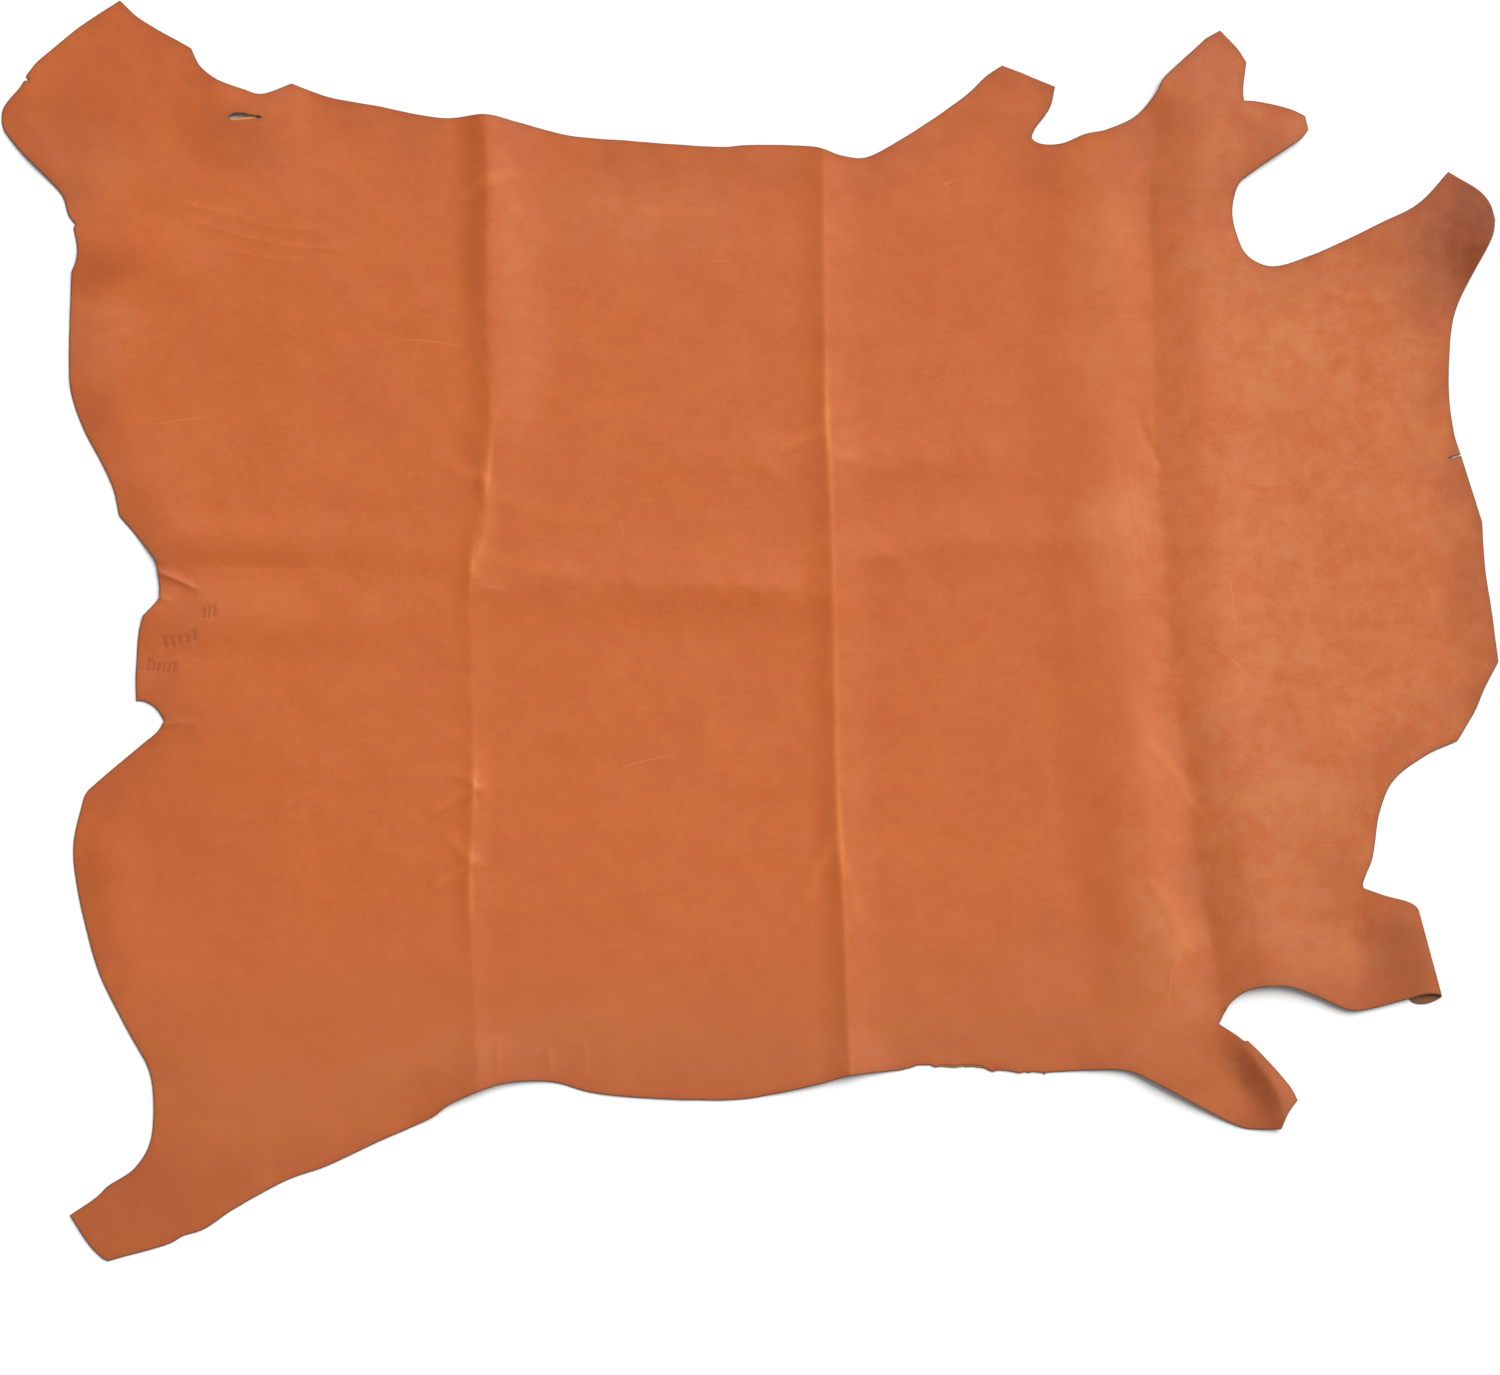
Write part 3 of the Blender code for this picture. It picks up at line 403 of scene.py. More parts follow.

# Patches where the leather is dusty and pale, rusty or flushed pink, or darker as painted shade
# where slopes and lifted edges turn from the light (kind dark): name, kind, middle, half length,
# half width, turn in degrees, strength
PATCHES = (
    ("cheek side of the neck", "dust", (0.861, 0.457), 0.090, 0.110, 0, 0.85),
    ("neck, above the slit", "dust", (1.088, 0.452), 0.060, 0.075, 0, 0.60),
    ("neck, by the slit", "dust", (1.105, 0.285), 0.060, 0.045, 0, 0.45),
    ("neck, streaked beside the fold", "dust", (0.598, 0.150), 0.110, 0.072, 90, 1.00),
    ("neck, below the ripples", "dust", (0.824, 0.165), 0.085, 0.060, 0, 0.65),
    ("neck, middle", "dust", (0.859, -0.023), 0.085, 0.070, 0, 0.55),
    ("neck, lower middle", "dust", (0.944, -0.120), 0.100, 0.060, 0, 0.35),
    ("neck, lower half", "dust", (0.880, -0.271), 0.130, 0.070, -10, 0.65),
    ("brisket, upper", "dust", (0.912, -0.399), 0.080, 0.060, 0, 0.50),
    ("brisket, lower", "dust", (0.950, -0.515), 0.055, 0.065, 0, 0.45),
    ("shoulder beside the neck fold", "dust", (0.560, 0.560), 0.260, 0.060, 90, 0.50),
    # This pale patch is partly painted light on the lit shoulder of the neck fold
    ("neck fold, low shoulder", "dust", (0.645, -0.490), 0.190, 0.058, -82, 0.85),
    ("neck fold, foot", "dust", (0.650, -0.655), 0.090, 0.060, 90, 0.45),
    ("upper throat", "dust", (0.770, 0.560), 0.060, 0.050, 0, 0.40),
    ("upper hind shank, foot", "dust", (-1.050, 0.720), 0.130, 0.070, 40, 0.40),
    ("upper rump edge", "dust", (-1.035, 0.473), 0.090, 0.070, 80, 0.50),
    ("rump above the tail", "dust", (-0.945, 0.270), 0.120, 0.065, -50, 0.35),
    ("upper belly, by the hind fold", "dust", (-0.365, 0.540), 0.240, 0.050, 90, 0.45),
    ("upper belly, middle", "dust", (-0.200, 0.670), 0.200, 0.075, 0, 0.45),
    ("lower belly, hind", "dust", (-0.520, -0.700), 0.170, 0.055, 25, 0.45),
    ("lower belly, under the folds", "dust", (-0.300, -0.640), 0.230, 0.080, 6, 0.35),
    ("lower belly, fore", "dust", (0.330, -0.660), 0.240, 0.070, 0, 0.40),
    ("left of the tail fold", "dust", (-0.800, 0.030), 0.130, 0.045, 0, 0.30),
    ("upper shank, belly side", "flush", (-0.744, 0.737), 0.150, 0.070, -35, 0.75),
    ("upper belly, hind", "flush", (-0.520, 0.721), 0.090, 0.070, 0, 0.50),
    ("upper belly, between the folds", "flush", (-0.170, 0.649), 0.270, 0.120, 0, 0.65),
    ("brisket side", "flush", (0.496, -0.560), 0.150, 0.170, 0, 0.60),
    ("neck, lower left", "flush", (0.790, -0.220), 0.140, 0.190, 0, 0.50),
    ("neck, low edge", "flush", (1.060, -0.140), 0.120, 0.080, 20, 0.65),
    ("cheek root", "flush", (1.080, 0.580), 0.110, 0.080, 40, 0.50),
    ("tail", "flush", (-0.928, -0.015), 0.120, 0.090, 90, 0.85),
    ("upper fore shank", "flush", (0.700, 0.840), 0.130, 0.100, -60, 0.55),
    ("lower hind shank", "flush", (-0.900, -0.800), 0.240, 0.120, 30, 0.45),
    ("low hem", "flush", (-0.100, -0.680), 0.420, 0.075, 0, 0.45),
    ("neck fold, east side", "flush", (0.690, 0.520), 0.230, 0.035, 90, 0.55),
    ("upper rump, first rusty edge", "rust", (-1.030, 0.596), 0.115, 0.060, 10, 1.00),
    ("upper rump, second rusty edge", "rust", (-1.045, 0.361), 0.105, 0.065, -60, 0.90),
    # This rusty band also paints the shade in the valley of the rump fold
    ("valley of the rump fold", "rust", (-0.760, 0.118), 0.260, 0.026, 1, 0.70),
    ("upper middle, red patch", "rust", (0.336, 0.593), 0.170, 0.150, 0, 0.50),
    ("shoulder, red patch", "rust", (0.533, 0.500), 0.070, 0.050, 0, 0.60),
    ("neck, red band", "rust", (0.979, 0.449), 0.110, 0.050, 85, 0.75),
    ("middle, red streak", "rust", (0.256, 0.253), 0.150, 0.026, 0, 0.45),
    ("lower rump, red patch", "rust", (-0.624, -0.399), 0.200, 0.090, 0, 0.45),
    ("lower rump, red mark", "rust", (-0.816, -0.527), 0.060, 0.035, -40, 0.70),
    ("upper hind shank, end", "rust", (-0.990, 0.880), 0.140, 0.120, -20, 0.75),
    ("by the neck fold", "rust", (0.735, 0.257), 0.130, 0.034, 90, 0.45),
    ("rump", "rust", (-0.860, 0.430), 0.200, 0.110, 0, 0.35),
    # This red streak also paints the shade on the side of the cross fold turned from the light
    ("middle, low red streak", "rust", (0.000, 0.030), 0.360, 0.036, 1, 0.40),
    ("throat of the fore shank", "rust", (0.735, -0.600), 0.040, 0.050, 0, 0.50),
    ("upper rump, dark edge", "dark", (-1.050, 0.590), 0.070, 0.045, 10, 0.22),
    ("upper rump, second dark edge", "dark", (-1.065, 0.353), 0.090, 0.050, -70, 0.22),
    ("tail root, upper side", "dark", (-0.975, 0.160), 0.110, 0.055, -50, 0.22),
    ("lower rump, upper edge", "dark", (-0.985, -0.225), 0.110, 0.060, 35, 0.20),
    ("lower rump, dark edge", "dark", (-1.059, -0.420), 0.190, 0.050, 84, 0.18),
    ("lower hind shank", "dark", (-0.970, -0.920), 0.190, 0.110, 20, 0.30),
    ("lower hind shank, end", "dark", (-1.040, -0.950), 0.085, 0.080, 20, 0.30),
    ("upper fore shank, end", "dark", (0.735, 0.900), 0.120, 0.070, -50, 0.20),
    ("upper fore shank, lobe", "dark", (0.840, 0.800), 0.080, 0.050, -30, 0.30),
    ("upper cheek", "dark", (1.130, 0.650), 0.190, 0.150, 60, 0.50),
    ("upper cheek, end", "dark", (1.190, 0.640), 0.210, 0.150, 66, 0.95),
    ("neck, edge by the slit", "dark", (1.140, 0.350), 0.230, 0.034, 84, 0.22),
    ("neck, edge below the slit", "dark", (1.165, 0.090), 0.200, 0.060, 84, 0.26),
    ("neck, lower corner", "dark", (1.165, -0.080), 0.130, 0.055, 80, 0.20),
    ("lower fore shank, inner side", "dark", (0.812, -0.725), 0.125, 0.040, -63, 0.66),
    ("lower fore shank, end", "dark", (0.815, -0.780), 0.060, 0.035, 8, 0.35),
    ("folded cheek", "rust", (1.050, -0.520), 0.110, 0.070, 80, 1.00),
    ("folded cheek, shade", "dark", (1.045, -0.520), 0.130, 0.085, 80, 0.50),
    ("brisket", "dark", (0.860, -0.560), 0.150, 0.045, 5, 0.20),
    ("elbow, end", "dark", (0.445, 0.880), 0.070, 0.040, -10, 0.22),
    ("lower rump, shade", "dark", (-0.940, -0.270), 0.260, 0.170, -50, 0.16),
    ("neck, lower shade", "dark", (0.830, -0.400), 0.320, 0.180, -80, 0.14),
    ("upper fore shank, foot", "dark", (0.680, 0.760), 0.130, 0.110, 0, 0.24),
    ("upper hind shank, shade", "dark", (-1.080, 0.790), 0.160, 0.120, 40, 0.20),
    ("neck fold, dark foot", "dark", (0.728, -0.440), 0.150, 0.030, -80, 0.26),
    ("neck fold, upper shade", "dark", (0.648, 0.720), 0.150, 0.022, 90, 0.22),
)
PATCH_WAVE = 0.11
PATCH_STRAY = 0.035

# Frayed stretches of the edge: name, length of the longest fibres, spacing, and the lowest
# and highest corner of the stretch
FRAYED = (
    ("belly_fibres", 0.0032, 0.0011, (0.240, -0.712), (0.474, -0.690)),
    ("slit_fibres", 0.0022, 0.0010, (1.114, 0.270), (1.142, 0.286)),
    ("hole_fibres", 0.0046, 0.0008, (-0.826, 0.815), (-0.789, 0.8215)),
)

# Wear and marks
EDGE_REACH = 0.12
WRINKLE_PULL = 0.22
SCRATCH_WIDTH = 0.0011
NECK_DUST = 0.16
NECK_DUST_RUN = (0.40, 0.90)
CRINKLED_RUN = (0.50, 0.80)
RICH_RUN = (0.10, -0.95)
# How much darker the grain grows towards the bottom edge, and the run of y over which it does
LOWER_DARKENING = 0.55
LOWER_DARKENING_RUN = (-0.30, -0.75)
RUBBED = ((0.398, -0.697), 0.022, 0.008, 0)
UPRIGHT_STREAKS = ((0.598, 0.170), 0.150, 0.085, 90)
BENT_OVER = 0.0062
LIP_FROM = 0.298
LIP_TO = 0.378
LIP_FADE = 0.008
LIP_BELOW = -0.69

# The sheet's own UV map: metres to map units for the grain side and the flesh side
MAP_SCALE = 0.384
MAP_FLESH_SCALE = 0.094
MAP_FLESH_START = 0.803
MAP_EDGE = 0.003

# Colours
GRAIN_MID = (0.498, 0.111, 0.0245, 1)
GRAIN_RICH = (0.482, 0.101, 0.0175, 1)
GRAIN_DEEP = (0.400, 0.080, 0.0150, 1)
GRAIN_FLUSH = (0.437, 0.104, 0.0370, 1)
GRAIN_RUST = (0.440, 0.072, 0.0080, 1)
GRAIN_LIGHT = (0.590, 0.165, 0.0420, 1)
GRAIN_DUST = (0.560, 0.188, 0.0680, 1)
GRAIN_LOWER_DARK = (0.400, 0.110, 0.0330, 1)
GRAIN_RIM = (0.360, 0.080, 0.0220, 1)
# Dark brown of the oiled edge, and the painted shade of the dark patches
GRAIN_OILED_AND_SHADE = (0.205, 0.044, 0.0120, 1)
GRAIN_RUBBED = (0.400, 0.066, 0.0200, 1)
GRAIN_PULLED = (0.660, 0.190, 0.0420, 1)
GRAIN_SCRATCH = (0.620, 0.190, 0.0650, 1)
# Near-black painted shade in the pits of the pricks
GRAIN_PRICK_PIT_SHADE = (0.110, 0.018, 0.0050, 1)
GRAIN_EDGE = (0.180, 0.056, 0.0240, 1)
PRICK_PALE = (0.500, 0.125, 0.0360, 1)
PRICK_TAN = (0.430, 0.095, 0.0220, 1)
EDGE_DARK = (0.130, 0.045, 0.019, 1)
EDGE_BROWN = (0.230, 0.088, 0.038, 1)
LIP_BROWN = (0.430, 0.145, 0.030, 1)
LIP_PALE = (0.620, 0.290, 0.110, 1)
FLESH_DEEP = (0.150, 0.052, 0.020, 1)
FLESH_PALE = (0.310, 0.122, 0.050, 1)
FLOOR_WHITE = (0.90, 0.90, 0.90, 1)
FLOOR_SHADE = (0.88, 0.88, 0.88, 1)

# How far in from the cut the grain is burnished, and how far it is darker
EDGE_BURNISH = (0.0004, 0.0030)
EDGE_SHADE = (0.0, 0.0140)
EDGE_TINGE = (0.0, 0.1150, 0.62, 0.0)
DUST_COVER = 0.66

# Light, camera and floor. The picture is 1500 pixels wide at 1.6 mm to a pixel on the floor.
PICTURE_WIDTH = 2.4
CAMERA_PLACE = (0.0, -0.0908, 7.0)
SENSOR_WIDTH = 36.0
SUN_WAY = (0.55, 0.62, 0.99)
SUN_STRENGTH = 3.7
SUN_ANGLE = math.radians(46)
SKY_STRENGTH = 0.30
FLOOR_SIDE = 40.0
FLOOR_GAP = 0.0003
FLOOR_CLEARANCE = 0.0001

# Pricked tally marks by the tail: name, foot of the first stroke (x, y), strokes, gap between
# them, pricks to a stroke, gap between those, lean of a stroke and of the row in degrees
TALLIES = (
    ("upper", (-0.874, 0.022), 3, 0.0085, 4, 0.0036, 6, 12),
    ("middle", (-0.935, -0.026), 5, 0.0120, 4, 0.0036, -8, 14),
    ("lower", (-0.964, -0.062), 6, 0.0084, 4, 0.0036, 10, -4),
)
PRICK_RADIUS = 0.0012
PRICK_DEPTH = 0.0009
PRICK_SIDES = 7
PRICK_STRAY = 0.0015

FOLD_LENGTH = float(np.hypot(*(FOLD_FOOT - FOLD_HEAD)))
FOLD_ALONG = (FOLD_FOOT - FOLD_HEAD) / FOLD_LENGTH
FOLD_PAST = np.array((-FOLD_ALONG[1], FOLD_ALONG[0]))
BEND = math.pi * FOLD_RADIUS


def smooth_curve(points, step):
    """Points at most about step apart on the smooth curve through points. Columns past x and
    y are carried along."""
    knots = np.array(points, float)
    knots = np.vstack([2 * knots[0] - knots[1], knots, 2 * knots[-1] - knots[-2]])
    spans = []
    for a, b, c, d in zip(knots, knots[1:], knots[2:], knots[3:]):
        before = np.hypot(*(b - a)[:2]) ** 0.5
        across = np.hypot(*(c - b)[:2]) ** 0.5
        beyond = np.hypot(*(d - c)[:2]) ** 0.5
        leave_b = across * ((b - a) / before - (c - a) / (before + across)) + (c - b)
        reach_c = across * ((d - c) / beyond - (d - b) / (across + beyond)) + (c - b)
        pieces = max(math.ceil(across ** 2 / step), 1)
        part = (np.arange(pieces) / pieces)[:, None]
        near = (2 * part ** 3 - 3 * part ** 2 + 1) * b + (part ** 3 - 2 * part ** 2 + part) * leave_b
        far = (3 * part ** 2 - 2 * part ** 3) * c + (part ** 3 - part ** 2) * reach_c
        spans.append(near + far)
    return np.vstack([*spans, knots[-2]])


def straight_run(points, step):
    """Points at most about step apart on the straight pieces between points."""
    spans = []
    for a, b in zip(points, points[1:]):
        pieces = max(math.ceil(np.hypot(*(b - a)) / step), 1)
        part = (np.arange(pieces) / pieces)[:, None]
        spans.append(a + part * (b - a))
    return np.vstack([*spans, points[-1]])


def smooth_rise(values, low, high):
    """0 below low, rising softly to 1 at high."""
    part = np.clip((values - low) / (high - low), 0, 1)
    return part * part * (3 - 2 * part)


def fold_axes(points):
    """Flat points as (along the fold of the lower cheek, past the fold)."""
    offset = points - FOLD_HEAD
    return offset @ FOLD_ALONG, offset @ FOLD_PAST


def from_fold_axes(along, past):
    """The flat point that lies so far along the fold and past it."""
    return FOLD_HEAD + along * FOLD_ALONG + past * FOLD_PAST


def past_fold(points):
    """Which flat points belong to the end that is folded under."""
    along, past = fold_axes(points)
    return (past > 0) & (along > -FOLD_MARGIN) & (along < FOLD_LENGTH + FOLD_MARGIN)


def inside(points, loop):
    """Which points are inside a closed loop."""
    result = np.zeros(len(points), bool)
    for a, b in zip(loop, np.roll(loop, -1, 0)):
        if a[1] != b[1]:
            level = (a[1] > points[:, 1]) != (b[1] > points[:, 1])
            crossing = a[0] + (b[0] - a[0]) * (points[:, 1] - a[1]) / (b[1] - a[1])
            result ^= level & (crossing > points[:, 0])
    return result


def tree_of(points):
    """A search tree of flat points."""
    tree = KDTree(len(points))
    for i, (x, y) in enumerate(points):
        tree.insert((x, y, 0), i)
    tree.balance()
    return tree


def clear_of(points, others, gap):
    """The points that lie at least gap from every one of the others."""
    tree = tree_of(others)
    return points[[tree.find((x, y, 0))[2] >= gap for x, y in points]]


def near_line(points, line, reach):
    """For each point: its distance from a line, or reach where that is less, 1 on the line's
    left or -1 on its right, and the line's third and later columns at the nearest place."""
    distance = np.full(len(points), float(reach))
    side = np.ones(len(points))
    carried = np.zeros((len(points), line.shape[1] - 2))
    for a, b in zip(line, line[1:]):
        low = np.minimum(a[:2], b[:2]) - reach
        high = np.maximum(a[:2], b[:2]) + reach
        near = np.flatnonzero(((points > low) & (points < high)).all(1))
        run = (b - a)[:2]
        offset = points[near] - a[:2]
        part = np.clip(offset @ run / (run @ run), 0, 1)
        gap = np.hypot(*(offset - part[:, None] * run).T)
        closer = gap < distance[near]
        found = near[closer]
        distance[found] = gap[closer]
        side[found] = np.where(run[0] * offset[closer, 1] > run[1] * offset[closer, 0], 1, -1)
        carried[found] = a[2:] + part[closer, None] * (b - a)[2:]
    return distance, side, carried


def waves(points, per_metre, octaves=2):
    """Smooth noise from about -1 to 1 at flat points."""
    return np.array([
        noise.fractal((x * per_metre, y * per_metre, per_metre), 1.0, 2.0, octaves)
        for x, y in points])


def faded(line):
    """A line with a third column that rises from 0 at its ends to 1 in its middle."""
    return np.column_stack([line, np.sin(math.pi * np.linspace(0, 1, len(line)))])


# The crests and lines as smooth curves, worked out once
FOLD_CURVES = [
    (right, left, round_by, smooth_curve(rows, ROW_STEP)) for name, right, left, round_by, rows in FOLDS]
TROUGH_CURVES = [(reaches, smooth_curve(rows, ROW_STEP)) for name, *reaches, rows in TROUGHS]
CREASE_LINES = [row[-1] for row in FOLD_CURVES + TROUGH_CURVES]
WRINKLE_CURVES = [
    (height, spread, smooth_curve(points, LINE_STEP)) for name, height, spread, points in WRINKLES]
SCRATCH_CURVES = [faded(smooth_curve(points, LINE_STEP / 2)) for name, points in SCRATCHES]


def fold_lift(points):
    """Height of the standing creases: rounded crests with sides that flatten out."""
    lift = np.zeros(len(points))
    for right, left, round_by, line in FOLD_CURVES:
        distance, side, carried = near_line(points, line, max(right, left))
        spread = np.where(side > 0, left, right)
        soft = np.hypot(distance, round_by) - round_by
        lift += carried[:, 0] * (1 - np.clip(soft / spread, 0, 1)) ** 2
    return lift


def trough_lift(points):
    """Height beside the sunken creases: none on the line, most at the two shoulders. The
    side on the line's left starts steeply, the one on its right softly."""
    lift = np.zeros(len(points))
    for (right, right_foot, left, left_foot), line in TROUGH_CURVES:
        distance, side, carried = near_line(points, line, max(right_foot, left_foot))
        soft = np.hypot(distance, TROUGH_ROUND) - TROUGH_ROUND
        steep = 1 - (1 - np.clip(soft / left, 0, 1)) ** 2
        left_lift = carried[:, 1] * steep * (1 - smooth_rise(distance, left, left_foot))
        right_lift = carried[:, 0] * smooth_rise(distance, 0, right)
        right_lift *= 1 - smooth_rise(distance, right, right_foot)
        lift += np.where(side > 0, left_lift, right_lift)
    return lift


def crumple_lift(points):
    """Height of the small uneven waves that the leather keeps along its folding creases."""
    near = np.zeros(len(points))
    for line in CREASE_LINES:
        distance = near_line(points, line[:, :2], CRUMPLE_REACH)[0]
        near = np.maximum(near, 1 - smooth_rise(distance, 0, CRUMPLE_REACH))
    lift = np.zeros(len(points))
    close = near > 0
    lift[close] = near[close] * (0.5 + 0.5 * waves(points[close], CRUMPLE_WAVES, 3)) ** 2
    return CRUMPLE_HEIGHT * lift


def wrinkle_lift(points):
    """Height of the small wrinkles."""
    lift = np.zeros(len(points))
    for height, spread, line in WRINKLE_CURVES:
        distance = near_line(points, line, spread)[0]
        lift += height * (1 - smooth_rise(distance, 0, spread))
    return lift


def patch_reach(points, middle, half_length, half_width, turn):
    """0 in the middle of an ellipse, 1 on its rim and more outside."""
    angle = math.radians(turn)
    offset = points - np.array(middle)
    along = offset @ np.array((math.cos(angle), math.sin(angle)))
    across = offset @ np.array((-math.sin(angle), math.cos(angle)))
    return (along / half_length) ** 2 + (across / half_width) ** 2


def swell_lift(points):
    """Height of the soft swells."""
    lift = np.zeros(len(points))
    for name, middle, half_length, half_width, turn, height in SWELLS:
        reach = patch_reach(points, middle, half_length, half_width, turn)
        lift += height * (1 - np.clip(reach, 0, 1)) ** 2
    return lift


def uneven_lift(points):
    """Height of the soft waves, which touch the floor in their hollows."""
    return sum(height * (0.5 + 0.5 * waves(points, per_metre)) ** 2 for per_metre, height in UNEVEN)


def sheet_lift(points):
    """Height of the sheet's underside over the floor at flat points short of the fold."""
    fold_line = np.array((FOLD_HEAD, FOLD_FOOT))
    near_fold = 1 - smooth_rise(near_line(points, fold_line, FOLD_REACH)[0], 0, FOLD_REACH)
    elsewhere = (
        fold_lift(points) + trough_lift(points) + wrinkle_lift(points)
        + swell_lift(points) + uneven_lift(points) + crumple_lift(points))
    return 2 * FOLD_RADIUS * near_fold + elsewhere * (1 - near_fold)


def lie(points):
    """Middle of the sheet's thickness for flat points, where they lie."""
    placed = np.column_stack([points, sheet_lift(points) + HALF])
    along, past = fold_axes(points)
    angle = np.minimum(past / FOLD_RADIUS, math.pi)
    under = np.maximum(past - BEND, 0)
    plan = FOLD_HEAD + along[:, None] * FOLD_ALONG
    plan = plan + (FOLD_RADIUS * np.sin(angle) - under)[:, None] * FOLD_PAST
    bent = np.column_stack([plan, HALF + FOLD_RADIUS * (1 + np.cos(angle))])
    folded = past_fold(points)
    placed[folded] = bent[folded]
    return placed


def cheek_edge(start, points):
    """Edge of the lower cheek, which goes round the flap on its way."""
    before = points[:CHEEK_POINTS_BEFORE_FLAP]
    after = points[CHEEK_POINTS_BEFORE_FLAP:]
    flap = [from_fold_axes(*row) for row in FLAP_EDGE]
    return smooth_curve([start, *before, *flap, *after], EDGE_STEP)[1:]


def ragged(points, wave, stray):
    """Points moved a little, the same way each run, as a knife or a tear strays."""
    moved = [noise.noise_vector((x / wave, y / wave, 0)) for x, y in points]
    return points + stray * np.array(moved)[:, :2]


def cut_edge():
    """The whole cut edge in the flat sheet, once round clockwise, and which of its points
    belong to the torn lip."""
    loop = []
    corner = CUT_EDGE[-1][2][-1]
    for name, run, points in CUT_EDGE:
        if run == "smooth":
            loop.append(ragged(smooth_curve([corner, *points], EDGE_STEP)[1:], KNIFE_WAVE, KNIFE_STRAY))
        elif run == "torn":
            torn = straight_run(np.array([corner, *points]), EDGE_STEP / 2)[1:]
            loop.append(ragged(torn, TEAR_WAVE, TEAR_STRAY))
        else:
            loop.append(cheek_edge(corner, points))
        corner = points[-1]
    return np.vstack(loop)


def hole_edge():
    """Edge of the worn hole, anticlockwise, then the width of its rim and how far it is torn."""
    rows = smooth_curve(HOLE_EDGE, HOLE_STEP)[:-1]
    edge = ragged(HOLE_CENTRE + rows[:, :2], TEAR_WAVE, HOLE_RAG)
    return edge, rows[:, 2], np.clip(rows[:, 3], 0, 1)


def outward(loop):
    """At each point of a clockwise loop, the way out across the edge, longer in corners."""
    ahead = np.roll(loop, -1, 0) - loop
    ahead /= np.hypot(*ahead.T)[:, None]
    normals = np.column_stack([-ahead[:, 1], ahead[:, 0]])
    both = normals + np.roll(normals, 1, 0)
    return both / np.maximum((both ** 2).sum(1) / 2, 0.7)[:, None]


def beside(line, offset):
    """A row of points that keeps to one side of a line."""
    run = line[2:, :2] - line[:-2, :2]
    run = run / np.hypot(*run.T)[:, None]
    return line[1:-1, :2] + offset * np.column_stack([-run[:, 1], run[:, 0]])


class FlatPattern:
    """Points and lines of the flat sheet, ready to be cut into triangles."""

    def __init__(self, loops):
        self.loops = loops
        self.points = np.empty((0, 2))
        self.lines = []
        for loop in loops:
            self.add_line(loop, closed=True)

    def on_leather(self, points):
        """The points that are inside the edge and outside the hole."""
        edge, hole = self.loops
        points = points[inside(points, edge)]
        return points[~inside(points, hole)]

    def add_line(self, points, closed=False):
        """Add points in a row, with the mesh's edges to follow the row."""
        first = len(self.points)
        last = first + len(points) - 1
        self.points = np.vstack([self.points, points])
        self.lines += [(i, i + 1) for i in range(first, last)]
        if closed:
            self.lines.append((last, first))

    def add_points(self, points, gap):
        """Add the points that are on the leather and at least gap from those so far."""
        points = self.on_leather(points)
        if len(points):
            self.points = np.vstack([self.points, clear_of(points, self.points, gap)])

    def add_grid(self, step, gap):
        """Staggered rows of points over the rest of the sheet."""
        low = self.loops[0].min(0)
        high = self.loops[0].max(0)
        rows = []
        for row, y in enumerate(np.arange(low[1], high[1], step * math.sqrt(3) / 2)):
            xs = np.arange(low[0] + step / 2 * (row % 2), high[0], step)
            rows.append(np.column_stack([xs, np.full(len(xs), y)]))
        self.add_points(np.vstack(rows), gap)

    def triangles(self):
        """The points, the triangles between them and each loop's points, in order."""
        vectors = [Vector(point) for point in self.points]
        points, edges, faces, origins = delaunay_2d_cdt(vectors, self.lines, [], 1, MERGE_DISTANCE)[:4]
        points = np.array([tuple(point) for point in points])
        faces = np.array([face for face in faces if len(face) == 3])
        faces = faces[~inside(points[faces].mean(1), self.loops[1])]
        place = {old: new for new, olds in enumerate(origins) for old in olds}
        rings = []
        first = 0
        for loop in self.loops:
            rings.append(np.array([place[i] for i in range(first, first + len(loop))]))
            first += len(loop)
        return points, faces, rings


def fold_rows(step):
    """Rows of points along the fold of the cheek, close enough for a round bend."""
    count = math.ceil((FOLD_LENGTH + 2 * FOLD_MARGIN) / step)
    along = -FOLD_MARGIN + (FOLD_LENGTH + 2 * FOLD_MARGIN) * np.arange(count + 1) / count
    rows = []
    for past in BEND * np.arange(FOLD_STEPS + 1) / FOLD_STEPS:
        rows.append(FOLD_HEAD + along[:, None] * FOLD_ALONG + past * FOLD_PAST)
    return np.vstack(rows)


def pricks():
    """Middles of all the pricks of the tally marks."""
    places = []
    for name, foot, strokes, gap, count, step, lean, row_lean in TALLIES:
        up = np.array((math.sin(math.radians(lean)), math.cos(math.radians(lean))))
        on = np.array((math.cos(math.radians(row_lean)), math.sin(math.radians(row_lean))))
        for stroke in range(strokes):
            places += [foot + stroke * gap * on + i * step * up for i in range(count)]
    return ragged(np.array(places), PRICK_RADIUS * 2, PRICK_STRAY)


def prick_rims(middles):
    """Points round the rim of each prick."""
    angle = 2 * math.pi * np.arange(PRICK_SIDES) / PRICK_SIDES
    circle = PRICK_RADIUS * np.column_stack([np.cos(angle), np.sin(angle)])
    return (middles[:, None] + circle).reshape(-1, 2)


